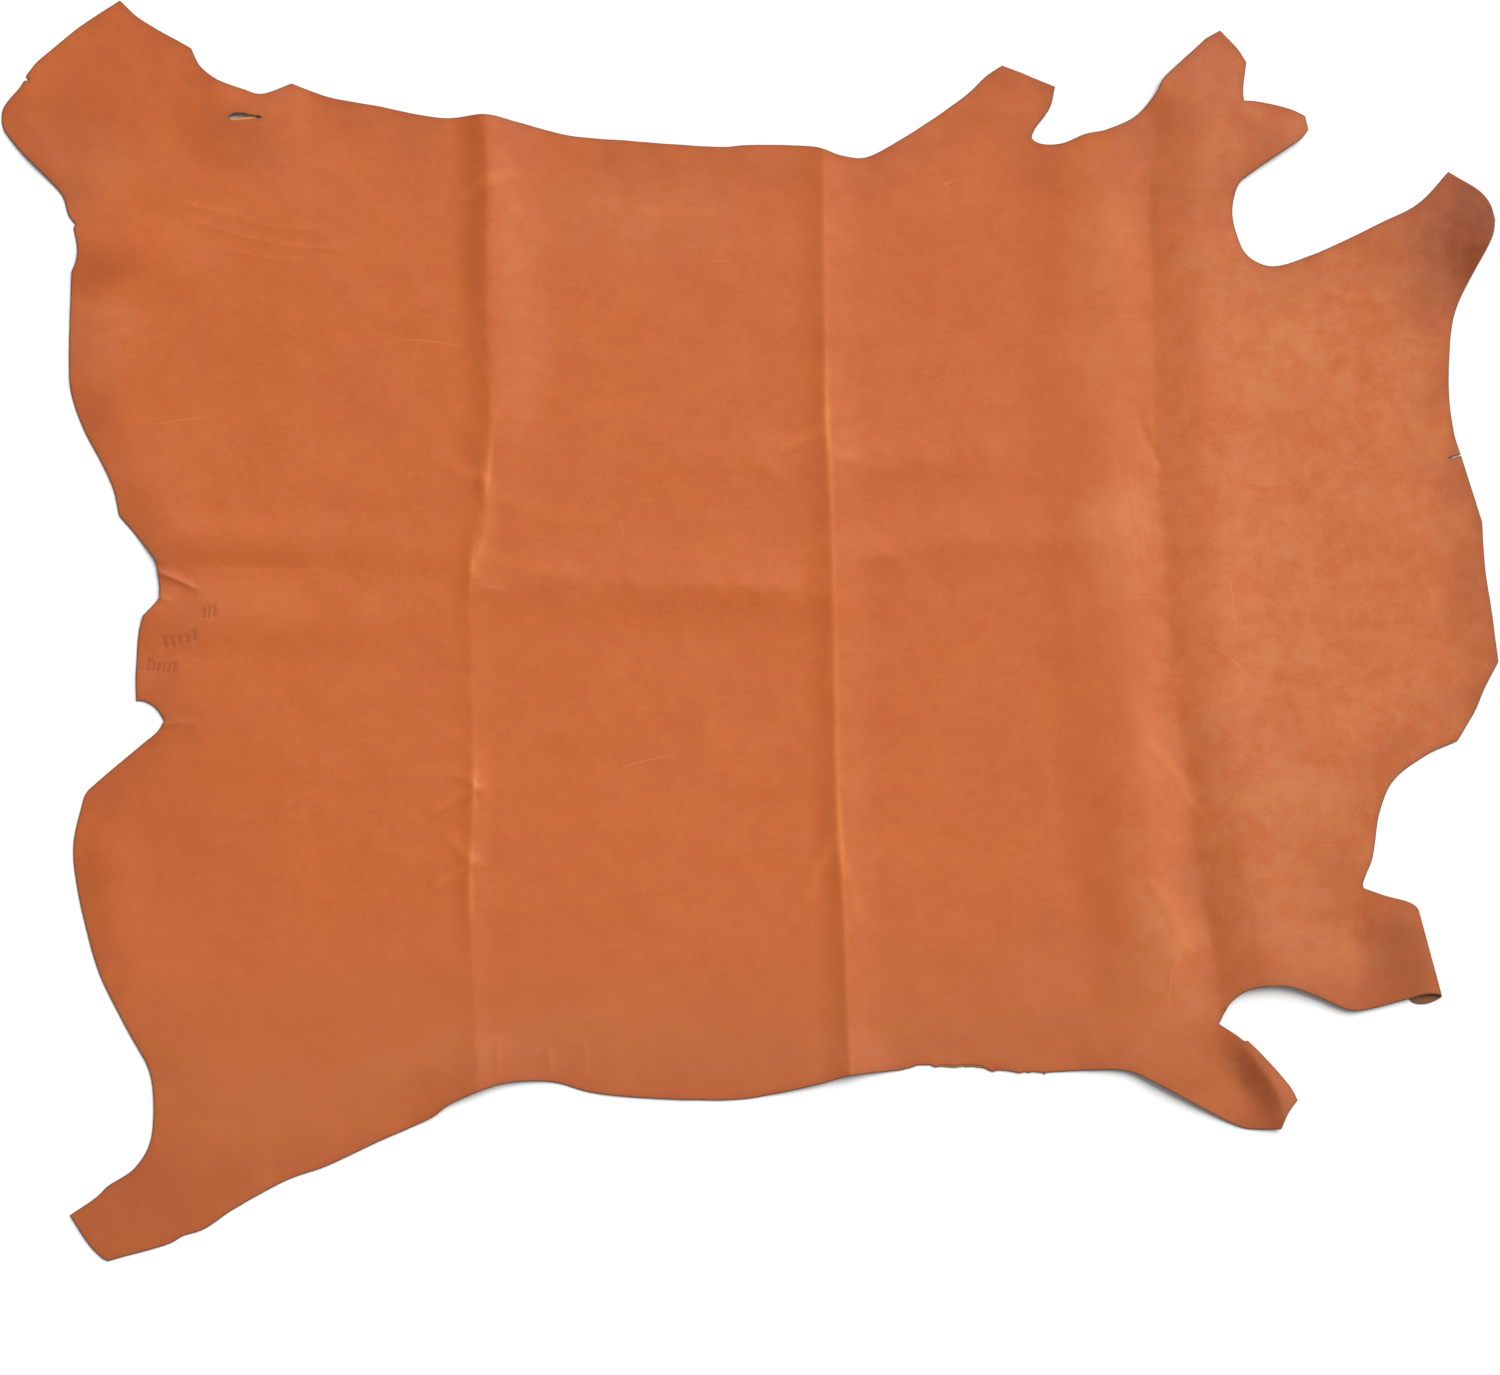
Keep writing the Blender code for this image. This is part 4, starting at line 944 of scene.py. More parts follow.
def grain_pattern(loops, marks):
    """The flat pattern of the grain side, with rows of points along all that is fine."""
    pattern = FlatPattern(loops)
    pattern.add_points(marks, 0)
    pattern.add_points(prick_rims(marks), 0)
    pattern.add_points(fold_rows(LINE_STEP), 0.0008)
    for line in CREASE_LINES:
        fine = smooth_curve(line[:, :2], LINE_STEP)
        pattern.add_points(fine, 0.001)
        for offset in FOLD_ROWS:
            pattern.add_points(np.vstack([beside(fine, offset), beside(fine, -offset)]), 0.0011)
    for height, spread, line in WRINKLE_CURVES:
        pattern.add_points(line, 0.0015)
        for part in (0.35, 0.7):
            offset = part * spread
            pattern.add_points(np.vstack([beside(line, offset), beside(line, -offset)]), 0.0018)
    for line in SCRATCH_CURVES:
        pattern.add_points(line[:, :2], 0.0008)
        for offset in (SCRATCH_WIDTH, -SCRATCH_WIDTH):
            pattern.add_points(beside(line, offset), 0.7 * SCRATCH_WIDTH)
    for depth in EDGE_ROWS:
        for loop in loops:
            pattern.add_points(loop - depth * outward(loop), depth * 0.7)
    pattern.add_grid(GRID_STEP, GRID_CLEARANCE)
    return pattern


def flesh_pattern(loops):
    """The flat pattern of the flesh side, which is coarser: it follows only the folds."""
    pattern = FlatPattern(loops)
    pattern.add_points(fold_rows(LINE_STEP * 1.5), 0.0008)
    for line in CREASE_LINES:
        pattern.add_points(line[:, :2], 0.006)
        for offset in (0.011, 0.026):
            pattern.add_points(np.vstack([beside(line, offset), beside(line, -offset)]), 0.009)
    for height, spread, line in WRINKLE_CURVES:
        pattern.add_points(line[::2], 0.008)
    pattern.add_grid(FLESH_STEP, FLESH_CLEARANCE)
    return pattern


def point_normals(places, faces):
    """Grain side's direction at each point, averaged from the triangles round it."""
    a, b, c = places[faces[:, 0]], places[faces[:, 1]], places[faces[:, 2]]
    across = np.cross(b - a, c - a)
    normals = np.zeros_like(places)
    for corner in range(3):
        np.add.at(normals, faces[:, corner], across)
    return normals / np.maximum(np.linalg.norm(normals, axis=1), 1e-12)[:, None]


def cut_distance(points, outlines):
    """Distance of flat points from the cut edge, up to the reach of the edge's wear."""
    nearest = np.full(len(points), np.inf)
    for loop in outlines:
        closed = np.vstack([loop, loop[:1]])
        nearest = np.minimum(nearest, near_line(points, closed, EDGE_REACH)[0])
    return nearest


def crest_pull(points):
    """How far the colour has been pulled out along creases and wrinkles, 0 to 1."""
    pull = np.zeros(len(points))
    for line in CREASE_LINES:
        distance, side, carried = near_line(points, line, 4 * PULL_REACH)
        pull = np.maximum(pull, carried[:, -1] * np.exp(-(distance / PULL_REACH) ** 2))
    for height, spread, line in WRINKLE_CURVES:
        distance = near_line(points, line, spread)[0]
        share = WRINKLE_PULL * max(height, 0) / HALF
        pull = np.maximum(pull, share * np.exp(-(2 * distance / spread) ** 2))
    return pull


def strayed(points):
    """Flat points moved by soft waves, so that what is round turns out uneven."""
    moved = [noise.noise_vector((x / PATCH_WAVE, y / PATCH_WAVE, 2.0)) for x, y in points]
    return points + PATCH_STRAY * np.array(moved)[:, :2]


def patches(points, wanted):
    """Strength of the patches of one kind at flat points."""
    strength = np.zeros(len(points))
    for name, kind, middle, half_length, half_width, turn, most in PATCHES:
        if kind == wanted:
            reach = patch_reach(points, middle, half_length, half_width, turn)
            strength = np.maximum(strength, most * (1 - smooth_rise(np.sqrt(reach), 0.15, 1.25)))
    return strength


def bent_over(points):
    """1 where the folded cheek turns under, which is rubbed dark, 0 elsewhere."""
    along, past = fold_axes(points)
    turned = np.exp(-((past - 0.42 * BEND) / BENT_OVER) ** 2)
    return np.where((along > -FOLD_MARGIN) & (along < FOLD_LENGTH + FOLD_MARGIN), turned, 0)


def worn_rows(points, outlines, marks):
    """What the leather has gone through at flat points, and where shade is painted, by attribute name."""
    scratch = np.zeros(len(points))
    for line in SCRATCH_CURVES:
        distance, side, carried = near_line(points, line, SCRATCH_WIDTH)
        scratch = np.maximum(scratch, carried[:, 0] * (1 - distance / SCRATCH_WIDTH))
    prick_tree = tree_of(marks)
    prick = np.array([prick_tree.find((*point, 0))[2] for point in points])
    x, y = points.T
    moved = strayed(points)
    return {
        "pull": crest_pull(points),
        "dust": np.clip(patches(moved, "dust") + NECK_DUST * smooth_rise(x, *NECK_DUST_RUN), 0, 1),
        "flush": patches(moved, "flush"),
        "rust": patches(moved, "rust"),
        # Painted shade of the dark patches, with the rubbed turn of the folded cheek
        "dark": np.maximum(patches(moved, "dark"), bent_over(points)),
        "rich": smooth_rise(-x, -RICH_RUN[0], -RICH_RUN[1]),
        "darker_below": LOWER_DARKENING * smooth_rise(-y, -LOWER_DARKENING_RUN[0], -LOWER_DARKENING_RUN[1]),
        "crinkled": smooth_rise(x, *CRINKLED_RUN),
        "scratch": scratch,
        "prick": 1 - smooth_rise(prick, 0.6 * PRICK_RADIUS, 1.1 * PRICK_RADIUS),
        "cut": cut_distance(points, outlines),
        "rubbed": 1 - smooth_rise(patch_reach(points, *RUBBED), 0, 1),
        "upright": 1 - smooth_rise(patch_reach(points, *UPRIGHT_STREAKS), 0, 1),
    }


def lip_share(loop):
    """1 where the torn lip is, 0 elsewhere."""
    rise = smooth_rise(loop[:, 0], LIP_FROM, LIP_FROM + LIP_FADE)
    fall = smooth_rise(loop[:, 0], LIP_TO - LIP_FADE, LIP_TO)
    return rise * (1 - fall) * (loop[:, 1] < LIP_BELOW)


def make_mesh(name, places, faces, materials=(), face_materials=None):
    """A mesh object at the origin."""
    mesh = bpy.data.meshes.new(name)
    mesh.from_pydata(places, [], faces)
    for material in materials:
        mesh.materials.append(material)
    if face_materials is not None:
        mesh.polygons.foreach_set("material_index", face_materials)
    mesh.shade_smooth()
    made = bpy.data.objects.new(name, mesh)
    bpy.context.scene.collection.objects.link(made)
    return made


def set_attribute(mesh, name, values):
    """A number for each of the mesh's points."""
    attribute = mesh.attributes.new(name, "FLOAT", "POINT")
    attribute.data.foreach_set("value", np.asarray(values, np.float32))


def edge_rings(bevel, lip, middle, normal, miter):
    """Rings of points round the cut edge, between the grain side and the flesh side."""
    run = np.roll(middle, -1, 0) - np.roll(middle, 1, 0)
    run /= np.linalg.norm(run, axis=1)[:, None]
    side = np.cross(normal, run) * miter[:, None]
    rings = []
    for cut, torn in zip(CUT_PROFILE, LIP_PROFILE):
        share, height = (np.outer(1 - lip, cut) + np.outer(lip, torn)).T
        rings.append(middle + side * (share * bevel)[:, None] + normal * (height * HALF)[:, None])
    return rings


def ring_faces(upper, lower):
    """Quads between two closed rings, facing outwards."""
    return np.column_stack([upper, np.roll(upper, -1), np.roll(lower, -1), lower])


def leather_sheet(materials):
    """The hide: grain side, flesh side and cut edge as one closed sheet."""
    edge = cut_edge()
    edge_lip = lip_share(edge)
    hole, hole_rim, hole_lip = hole_edge()
    outlines = (edge, hole)
    lips = (edge_lip, hole_lip)
    bevels = (BEVEL + (LIP_BEVEL - BEVEL) * edge_lip, hole_rim)
    loops = [
        loop - bevel[:, None] * outward(loop) for loop, bevel in zip(outlines, bevels)]
    marks = pricks()

    flat, grain_faces, grain_rings = grain_pattern(loops, marks).triangles()
    middle = lie(flat)
    normal = point_normals(middle, grain_faces)
    under_flat, flesh_faces, flesh_rings = flesh_pattern(loops).triangles()
    under_middle = lie(under_flat)
    under_normal = point_normals(under_middle, flesh_faces)
    for above, below in zip(grain_rings, flesh_rings):
        under_normal[below] = normal[above]

    mark_tree = tree_of(marks)
    in_prick = np.array([mark_tree.find((x, y, 0))[2] < PRICK_RADIUS / 2 for x, y in flat])
    depth = HALF - PRICK_DEPTH * in_prick
    places = [middle + normal * depth[:, None], under_middle - under_normal * HALF]
    flats = [flat, under_flat]
    faces = [grain_faces, flesh_faces[:, ::-1] + len(flat)]
    sides = [np.zeros(len(grain_faces)), np.full(len(flesh_faces), 2)]
    steps = []
    lip_values = [np.zeros(len(flat)), np.zeros(len(under_flat))]
    count = len(flat) + len(under_flat)
    for loop, bevel, lip, above, below in zip(outlines, bevels, lips, grain_rings, flesh_rings):
        miter = np.hypot(*outward(loop).T)
        rings = edge_rings(bevel, lip, middle[above], normal[above], miter)
        ids = [above]
        for level, ring in enumerate(rings):
            ids.append(np.arange(count, count + len(ring)))
            places.append(ring)
            flats.append(flat[above])
            lip_values.append(lip * (level > 0))
            count += len(ring)
        ids.append(below + len(flat))
        for level, (upper, lower) in enumerate(zip(ids, ids[1:])):
            faces.append(ring_faces(upper, lower))
            sides.append(np.full(len(upper), 1))
            steps.append((len(faces) - 1, level, flat[above], outward(loop)))

    face_rows = [row for block in faces for row in block.tolist()]
    hide = make_mesh(
        "tanned_hide", np.vstack(places), face_rows, materials,
        np.concatenate(sides).astype(np.int32))
    worn = worn_rows(np.vstack(flats), outlines, marks)
    worn["lip"] = np.concatenate(lip_values)
    for name, values in worn.items():
        set_attribute(hide.data, name, values)
    lay_out_map(hide.data, flat, under_flat, faces, steps)
    return hide, outlines, marks


def lay_out_map(mesh, flat, under_flat, faces, steps):
    """The sheet's own UV map: grain side large, cut edge spread out round it, flesh side small."""
    low = flat.min(0) - MAP_EDGE * 5
    corners = []
    for index, block in enumerate(faces):
        if index == 0:
            corners.append((flat[block] - low) * MAP_SCALE)
        elif index == 1:
            spots = (under_flat[block - len(flat)] - low) * MAP_FLESH_SCALE
            corners.append(spots + (0, MAP_FLESH_START))
    for index, level, base, way in steps:
        near = base + way * MAP_EDGE * level
        far = base + way * MAP_EDGE * (level + 1)
        quad = np.stack([near, np.roll(near, -1, 0), np.roll(far, -1, 0), far], 1)
        corners.append((quad - low) * MAP_SCALE)
    spots = np.concatenate([block.reshape(-1, 2) for block in corners])
    layer = mesh.uv_layers.new(name="OFBake")
    layer.uv.foreach_set("vector", spots.astype(np.float32).ravel())


class Nodes:
    """Adds nodes to a tree, each with its settings and its inputs, as values or links."""

    def __init__(self, tree):
        self.tree = tree
        tree.nodes.clear()

    def add(self, kind, inputs=(), **settings):
        made = self.tree.nodes.new(kind)
        for name, value in settings.items():
            setattr(made, name, value)
        for key, value in dict(inputs).items():
            if isinstance(value, bpy.types.NodeSocket):
                self.tree.links.new(value, made.inputs[key])
            else:
                made.inputs[key].default_value = value
        made.location = (180 * (len(self.tree.nodes) % 12), -260 * (len(self.tree.nodes) // 12))
        return made

    def attribute(self, name):
        return self.add("ShaderNodeAttribute", attribute_name=name).outputs["Fac"]

    def maths(self, operation, a, b=0.0):
        return self.add("ShaderNodeMath", {0: a, 1: b}, operation=operation).outputs[0]

    def stretch(self, vector, scale):
        inputs = {"Vector": vector, "Scale": scale}
        return self.add("ShaderNodeMapping", inputs).outputs["Vector"]

    def noise(self, vector, scale, detail=3.0, roughness=0.55):
        inputs = {"Vector": vector, "Scale": scale, "Detail": detail, "Roughness": roughness}
        return self.add("ShaderNodeTexNoise", inputs).outputs["Fac"]

    def span(self, value, low, high, to_low=0.0, to_high=1.0):
        inputs = {
            "Value": value, "From Min": low, "From Max": high, "To Min": to_low, "To Max": to_high}
        made = self.add("ShaderNodeMapRange", inputs, interpolation_type="SMOOTHSTEP")
        return made.outputs["Result"]

    def mix(self, share, low, high):
        inputs = {0: share, 6: low, 7: high}
        return self.add("ShaderNodeMix", inputs, data_type="RGBA").outputs[2]

    def cover(self, mask, most, low, high):
        """A layer of a colour, as strong as its mask and at most so thick."""
        return self.mix(self.maths("MULTIPLY", mask, most), low, high)

    def mask(self, tree, inputs):
        return self.place(tree, inputs).outputs[0]

    def place(self, tree, inputs):
        made = self.tree.nodes.new("ShaderNodeGroup")
        made.node_tree = tree
        for key, value in inputs.items():
            if isinstance(value, bpy.types.NodeSocket):
                self.tree.links.new(value, made.inputs[key])
            else:
                made.inputs[key].default_value = value
        return made


def new_group(name, inputs, outputs):
    """A shader node group with named number and vector sockets."""
    tree = bpy.data.node_groups.new(name, "ShaderNodeTree")
    for socket, kind in inputs:
        tree.interface.new_socket(name=socket, in_out="INPUT", socket_type=kind)
    for socket in outputs:
        tree.interface.new_socket(name=socket, in_out="OUTPUT", socket_type="NodeSocketFloat")
    nodes = Nodes(tree)
    taken = nodes.add("NodeGroupInput")
    given = nodes.add("NodeGroupOutput")
    return tree, nodes, taken.outputs, given.inputs


def mottle_group():
    """Cloudy patches: a soft mask with as much contrast as is asked for."""
    tree, nodes, taken, given = new_group(
        "mottle", (
            ("Vector", "NodeSocketVector"), ("Patches Per Metre", "NodeSocketFloat"),
            ("Contrast", "NodeSocketFloat")), ("Mask",))
    cloud = nodes.noise(taken["Vector"], taken["Patches Per Metre"], 4.0, 0.6)
    centred = nodes.maths("SUBTRACT", cloud, 0.5)
    strong = nodes.maths("MULTIPLY", centred, taken["Contrast"])
    made = nodes.add("ShaderNodeMath", {0: strong, 1: 0.5}, operation="ADD", use_clamp=True)
    tree.links.new(made.outputs[0], given["Mask"])
    return tree


def crinkle_group():
    """Height of the fine broken wrinkles of loose neck leather: thin bent creases."""
    tree, nodes, taken, given = new_group(
        "fine crinkles", (
            ("Vector", "NodeSocketVector"), ("Crinkles Per Metre", "NodeSocketFloat")), ("Height",))
    bent = nodes.noise(taken["Vector"], taken["Crinkles Per Metre"], 3.0, 0.6)
    away = nodes.maths("ABSOLUTE", nodes.maths("SUBTRACT", bent, 0.5))
    tree.links.new(nodes.span(away, 0.0, 0.05), given["Height"])
    return tree


def brushed_group():
    """Fine streaks as a polishing brush or pad leaves them, along X."""
    tree, nodes, taken, given = new_group(
        "brushed streaks", (
            ("Vector", "NodeSocketVector"), ("Streaks Per Metre", "NodeSocketFloat"),
            ("Length", "NodeSocketFloat")), ("Mask",))
    thin = nodes.maths("DIVIDE", 1.0, taken["Length"])
    squash = nodes.add("ShaderNodeCombineXYZ", {"X": thin, "Y": 1.0, "Z": 1.0}).outputs[0]
    vector = nodes.stretch(taken["Vector"], squash)
    fine = nodes.noise(vector, taken["Streaks Per Metre"], 4.0, 0.65)
    tree.links.new(nodes.span(fine, 0.35, 0.68), given["Mask"])
    return tree


def grain_group():
    """Height of leather grain: pebbles parted by fine creases, with hair pores."""
    tree, nodes, taken, given = new_group(
        "leather grain", (
            ("Vector", "NodeSocketVector"), ("Pebbles Per Metre", "NodeSocketFloat")), ("Height",))
    bent = nodes.add("ShaderNodeTexNoise", {"Vector": taken["Vector"], "Scale": 160.0, "Detail": 2.0})
    shifted = nodes.add(
        "ShaderNodeVectorMath", {0: bent.outputs["Color"], 1: (0.0035, 0.0035, 0.0035)},
        operation="MULTIPLY")
    vector = nodes.add(
        "ShaderNodeVectorMath", {0: taken["Vector"], 1: shifted.outputs[0]}, operation="ADD").outputs[0]
    cells = nodes.add(
        "ShaderNodeTexVoronoi", {"Vector": vector, "Scale": taken["Pebbles Per Metre"]},
        feature="DISTANCE_TO_EDGE")
    pebbles = nodes.span(cells.outputs["Distance"], 0.0, 0.22)
    pores = nodes.noise(vector, 900.0, 2.0)
    height = nodes.maths("ADD", pebbles, nodes.maths("MULTIPLY", pores, 0.6))
    tree.links.new(height, given["Height"])
    return tree


def nap_group():
    """Matted fibres of the flesh side and of cut or torn leather."""
    tree, nodes, taken, given = new_group(
        "fibre nap", (
            ("Vector", "NodeSocketVector"), ("Fibres Per Metre", "NodeSocketFloat")),
        ("Mask", "Height"))
    warp = nodes.add("ShaderNodeTexNoise", {"Vector": taken["Vector"], "Scale": 60.0, "Detail": 3.0})
    shifted = nodes.add(
        "ShaderNodeVectorMath", {0: warp.outputs["Color"], 1: (0.02, 0.02, 0.02)}, operation="MULTIPLY")
    vector = nodes.add(
        "ShaderNodeVectorMath", {0: taken["Vector"], 1: shifted.outputs[0]}, operation="ADD").outputs[0]
    matted = nodes.noise(vector, taken["Fibres Per Metre"], 5.0, 0.7)
    tree.links.new(nodes.span(matted, 0.3, 0.7), given["Mask"])
    tree.links.new(matted, given["Height"])
    return tree


GROUPS = {
    "mottle": mottle_group(), "brushed": brushed_group(), "grain": grain_group(),
    "nap": nap_group(), "crinkle": crinkle_group()}


def new_material(name):
    """A material with a Principled shader, its nodes and Object coordinates."""
    material = bpy.data.materials.new(name)
    material.use_nodes = True
    nodes = Nodes(material.node_tree)
    shader = nodes.add("ShaderNodeBsdfPrincipled")
    output = nodes.add("ShaderNodeOutputMaterial")
    material.node_tree.links.new(shader.outputs[0], output.inputs["Surface"])
    where = nodes.add("ShaderNodeTexCoord").outputs["Object"]
    return material, nodes, shader, where


def finish_shader(nodes, shader, colour, roughness, height, depth):
    """Joins colour, roughness and relief to a material's shader."""
    bump = nodes.add("ShaderNodeBump", {"Strength": 1.0, "Distance": depth, "Height": height})
    links = nodes.tree.links
    links.new(colour, shader.inputs["Base Color"])
    links.new(roughness, shader.inputs["Roughness"])
    links.new(bump.outputs["Normal"], shader.inputs["Normal"])


def grain_leather():
    """Grain side: tan pull-up leather, mottled, brushed, dusty in places, worn at its edge and darker towards
    the bottom, with painted shade in its dark patches and in the pits of the pricks.
    """
    material, nodes, shader, where = new_material("grain_leather")

    def mottle(per_metre, contrast, shift):
        """Cloudy patches of their own, apart from those with another shift."""
        moved = nodes.add("ShaderNodeMapping", {"Vector": where, "Location": (shift, -shift, shift)})
        return nodes.mask(GROUPS["mottle"], {
            "Vector": moved.outputs[0], "Patches Per Metre": per_metre, "Contrast": contrast})

    def weighed(attribute, mask, low, high, even, mask_share):
        """A patch attribute broken up by a mask, on top of a share of another mask."""
        broken = nodes.maths("MULTIPLY", nodes.attribute(attribute), nodes.span(mask, 0.15, 0.85, low, high))
        return nodes.maths("ADD", broken, nodes.maths("MULTIPLY", even, mask_share))

    clouds = mottle(3.4, 2.4, 0.0)
    blots = mottle(12.0, 2.4, 3.0)
    spots = mottle(38.0, 2.4, 5.0)
    flecks = mottle(170.0, 2.6, 7.0)
    flushes = mottle(7.0, 2.8, 11.0)
    rusts = mottle(10.0, 2.8, 13.0)
    marble = nodes.maths("MULTIPLY", nodes.maths("ADD", mottle(13.0, 2.0, 17.0), mottle(34.0, 2.4, 19.0)), 0.5)
    broken = nodes.mask(GROUPS["crinkle"], {"Vector": where, "Crinkles Per Metre": 48.0})
    along = nodes.mask(GROUPS["brushed"], {"Vector": where, "Streaks Per Metre": 190.0, "Length": 4.0})
    turned = nodes.add(
        "ShaderNodeMapping", {"Vector": where, "Rotation": (0, 0, math.radians(84))}).outputs[0]
    upright = nodes.mask(
        GROUPS["brushed"], {"Vector": turned, "Streaks Per Metre": 190.0, "Length": 16.0})
    stroked = nodes.attribute("upright")
    streaks = nodes.add("ShaderNodeMix", {0: stroked, 2: along, 3: upright}).outputs[0]
    smear = nodes.maths("ADD", 0.10, nodes.maths("MULTIPLY", stroked, 0.42))

    colour = nodes.mix(nodes.attribute("rich"), GRAIN_MID, GRAIN_RICH)
    colour = nodes.mix(weighed("flush", marble, 0.5, 1.0, flushes, 0.40), colour, GRAIN_FLUSH)
    colour = nodes.mix(weighed("rust", blots, 0.5, 0.9, rusts, 0.32), colour, GRAIN_RUST)
    colour = nodes.cover(clouds, 0.24, colour, GRAIN_DEEP)
    colour = nodes.cover(blots, 0.26, colour, GRAIN_LIGHT)
    colour = nodes.cover(spots, 0.36, colour, GRAIN_DEEP)
    colour = nodes.cover(flecks, 0.24, colour, GRAIN_LIGHT)
    aged = nodes.maths("MULTIPLY", nodes.attribute("crinkled"), nodes.span(marble, 0.2, 0.8, 0.05, 0.46))
    colour = nodes.mix(aged, colour, GRAIN_DUST)
    worn = nodes.maths("MULTIPLY", nodes.attribute("crinkled"), nodes.span(broken, 0.0, 1.0, 0.30, 0.0))
    colour = nodes.mix(nodes.maths("MULTIPLY", worn, rusts), colour, GRAIN_DEEP)
    colour = nodes.mix(nodes.maths("MULTIPLY", streaks, smear), colour, GRAIN_LIGHT)
    dusty = nodes.maths("MULTIPLY", nodes.attribute("dust"), nodes.span(marble, 0.2, 0.8, 0.45, 1.15))
    colour = nodes.cover(dusty, DUST_COVER, colour, GRAIN_DUST)
    # Darker towards the bottom edge
    colour = nodes.mix(nodes.attribute("darker_below"), colour, GRAIN_LOWER_DARK)
    cut = nodes.attribute("cut")
    rim = nodes.maths("MULTIPLY", nodes.span(cut, *EDGE_TINGE), nodes.span(blots, 0.0, 1.0, 0.9, 0.2))
    colour = nodes.mix(rim, colour, GRAIN_RIM)
    # Painted shade: the dark patches, where slopes and lifted edges turn from the light, and the rubbed turn
    # of the folded cheek
    dark = nodes.maths("MULTIPLY", nodes.attribute("dark"), nodes.span(spots, 0.1, 0.9, 1.05, 0.80))
    colour = nodes.mix(dark, colour, GRAIN_OILED_AND_SHADE)
    colour = nodes.cover(nodes.attribute("rubbed"), 0.6, colour, GRAIN_RUBBED)
    pulled = nodes.maths("MULTIPLY", nodes.attribute("pull"), nodes.span(marble, 0.2, 0.8, 0.55, 1.0))
    colour = nodes.mix(pulled, colour, GRAIN_PULLED)
    colour = nodes.cover(nodes.attribute("scratch"), 0.85, colour, GRAIN_SCRATCH)
    # Painted shade in the pits of the pricks
    colour = nodes.cover(nodes.attribute("prick"), 1.0, colour, GRAIN_PRICK_PIT_SHADE)
    colour = nodes.mix(nodes.span(cut, *EDGE_SHADE, 0.16, 0.0), colour, GRAIN_OILED_AND_SHADE)
    colour = nodes.mix(nodes.span(cut, *EDGE_BURNISH), GRAIN_EDGE, colour)

    roughness = nodes.span(spots, 0.0, 1.0, 0.46, 0.58)
    roughness = nodes.maths("ADD", roughness, nodes.maths("MULTIPLY", dusty, 0.12))
    grain = nodes.mask(GROUPS["grain"], {"Vector": where, "Pebbles Per Metre": 620.0})
    height = nodes.maths("ADD", grain, nodes.maths("MULTIPLY", streaks, 0.25))
    crinkle = nodes.mask(GROUPS["crinkle"], {"Vector": where, "Crinkles Per Metre": 70.0})
    creased = nodes.maths("MULTIPLY", nodes.attribute("crinkled"), nodes.maths("MULTIPLY", crinkle, 2.0))
    height = nodes.maths("ADD", height, creased)
    finish_shader(nodes, shader, colour, roughness, height, 0.00006)
    shader.inputs["Specular IOR Level"].default_value = 0.22
    shader.inputs["Coat Weight"].default_value = 0.02
    shader.inputs["Coat Roughness"].default_value = 0.38
    return material


def cut_leather():
    """Cut edge: dark burnished fibre, paler where the lip is torn."""
    material, nodes, shader, where = new_material("cut_edge")
    nap = nodes.place(GROUPS["nap"], {"Vector": where, "Fibres Per Metre": 700.0})
    dark = nodes.mix(nap.outputs["Mask"], EDGE_DARK, EDGE_BROWN)
    torn = nodes.mix(nap.outputs["Mask"], LIP_BROWN, LIP_PALE)
    colour = nodes.mix(nodes.attribute("lip"), dark, torn)
    roughness = nodes.span(nap.outputs["Mask"], 0.0, 1.0, 0.7, 0.9)
    finish_shader(nodes, shader, colour, roughness, nap.outputs["Height"], 0.0002)
    return material


def flesh_leather():
    """Flesh side: brown suede with matted fibres."""
    material, nodes, shader, where = new_material("flesh_side")
    nap = nodes.place(GROUPS["nap"], {"Vector": where, "Fibres Per Metre": 420.0})
    clouds = nodes.mask(GROUPS["mottle"], {"Vector": where, "Patches Per Metre": 9.0, "Contrast": 2.2})
    colour = nodes.mix(nap.outputs["Mask"], FLESH_DEEP, FLESH_PALE)
    colour = nodes.mix(nodes.maths("MULTIPLY", clouds, 0.5), colour, FLESH_DEEP)
    roughness = nodes.span(nap.outputs["Mask"], 0.0, 1.0, 0.84, 0.96)
    finish_shader(nodes, shader, colour, roughness, nap.outputs["Height"], 0.0004)
    shader.inputs["Sheen Weight"].default_value = 0.25
    return material


def pricked_leather():
    """The raised rims of the pricks: grain stretched pale."""
    material, nodes, shader, where = new_material("pricked_rim")
    spots = nodes.mask(GROUPS["mottle"], {"Vector": where, "Patches Per Metre": 170.0, "Contrast": 2.4})
    colour = nodes.mix(spots, PRICK_TAN, PRICK_PALE)
    roughness = nodes.span(spots, 0.0, 1.0, 0.50, 0.62)
    grain = nodes.mask(GROUPS["grain"], {"Vector": where, "Pebbles Per Metre": 620.0})
    finish_shader(nodes, shader, colour, roughness, grain, 0.00004)
    return material


def fibre_leather():
    """Loose fibres of torn leather."""
    material, nodes, shader, where = new_material("torn_fibre")
    nap = nodes.place(GROUPS["nap"], {"Vector": where, "Fibres Per Metre": 300.0})
    colour = nodes.mix(nap.outputs["Mask"], LIP_BROWN, LIP_PALE)
    roughness = nodes.span(nap.outputs["Mask"], 0.0, 1.0, 0.75, 0.9)
    finish_shader(nodes, shader, colour, roughness, nap.outputs["Height"], 0.0001)
    return material


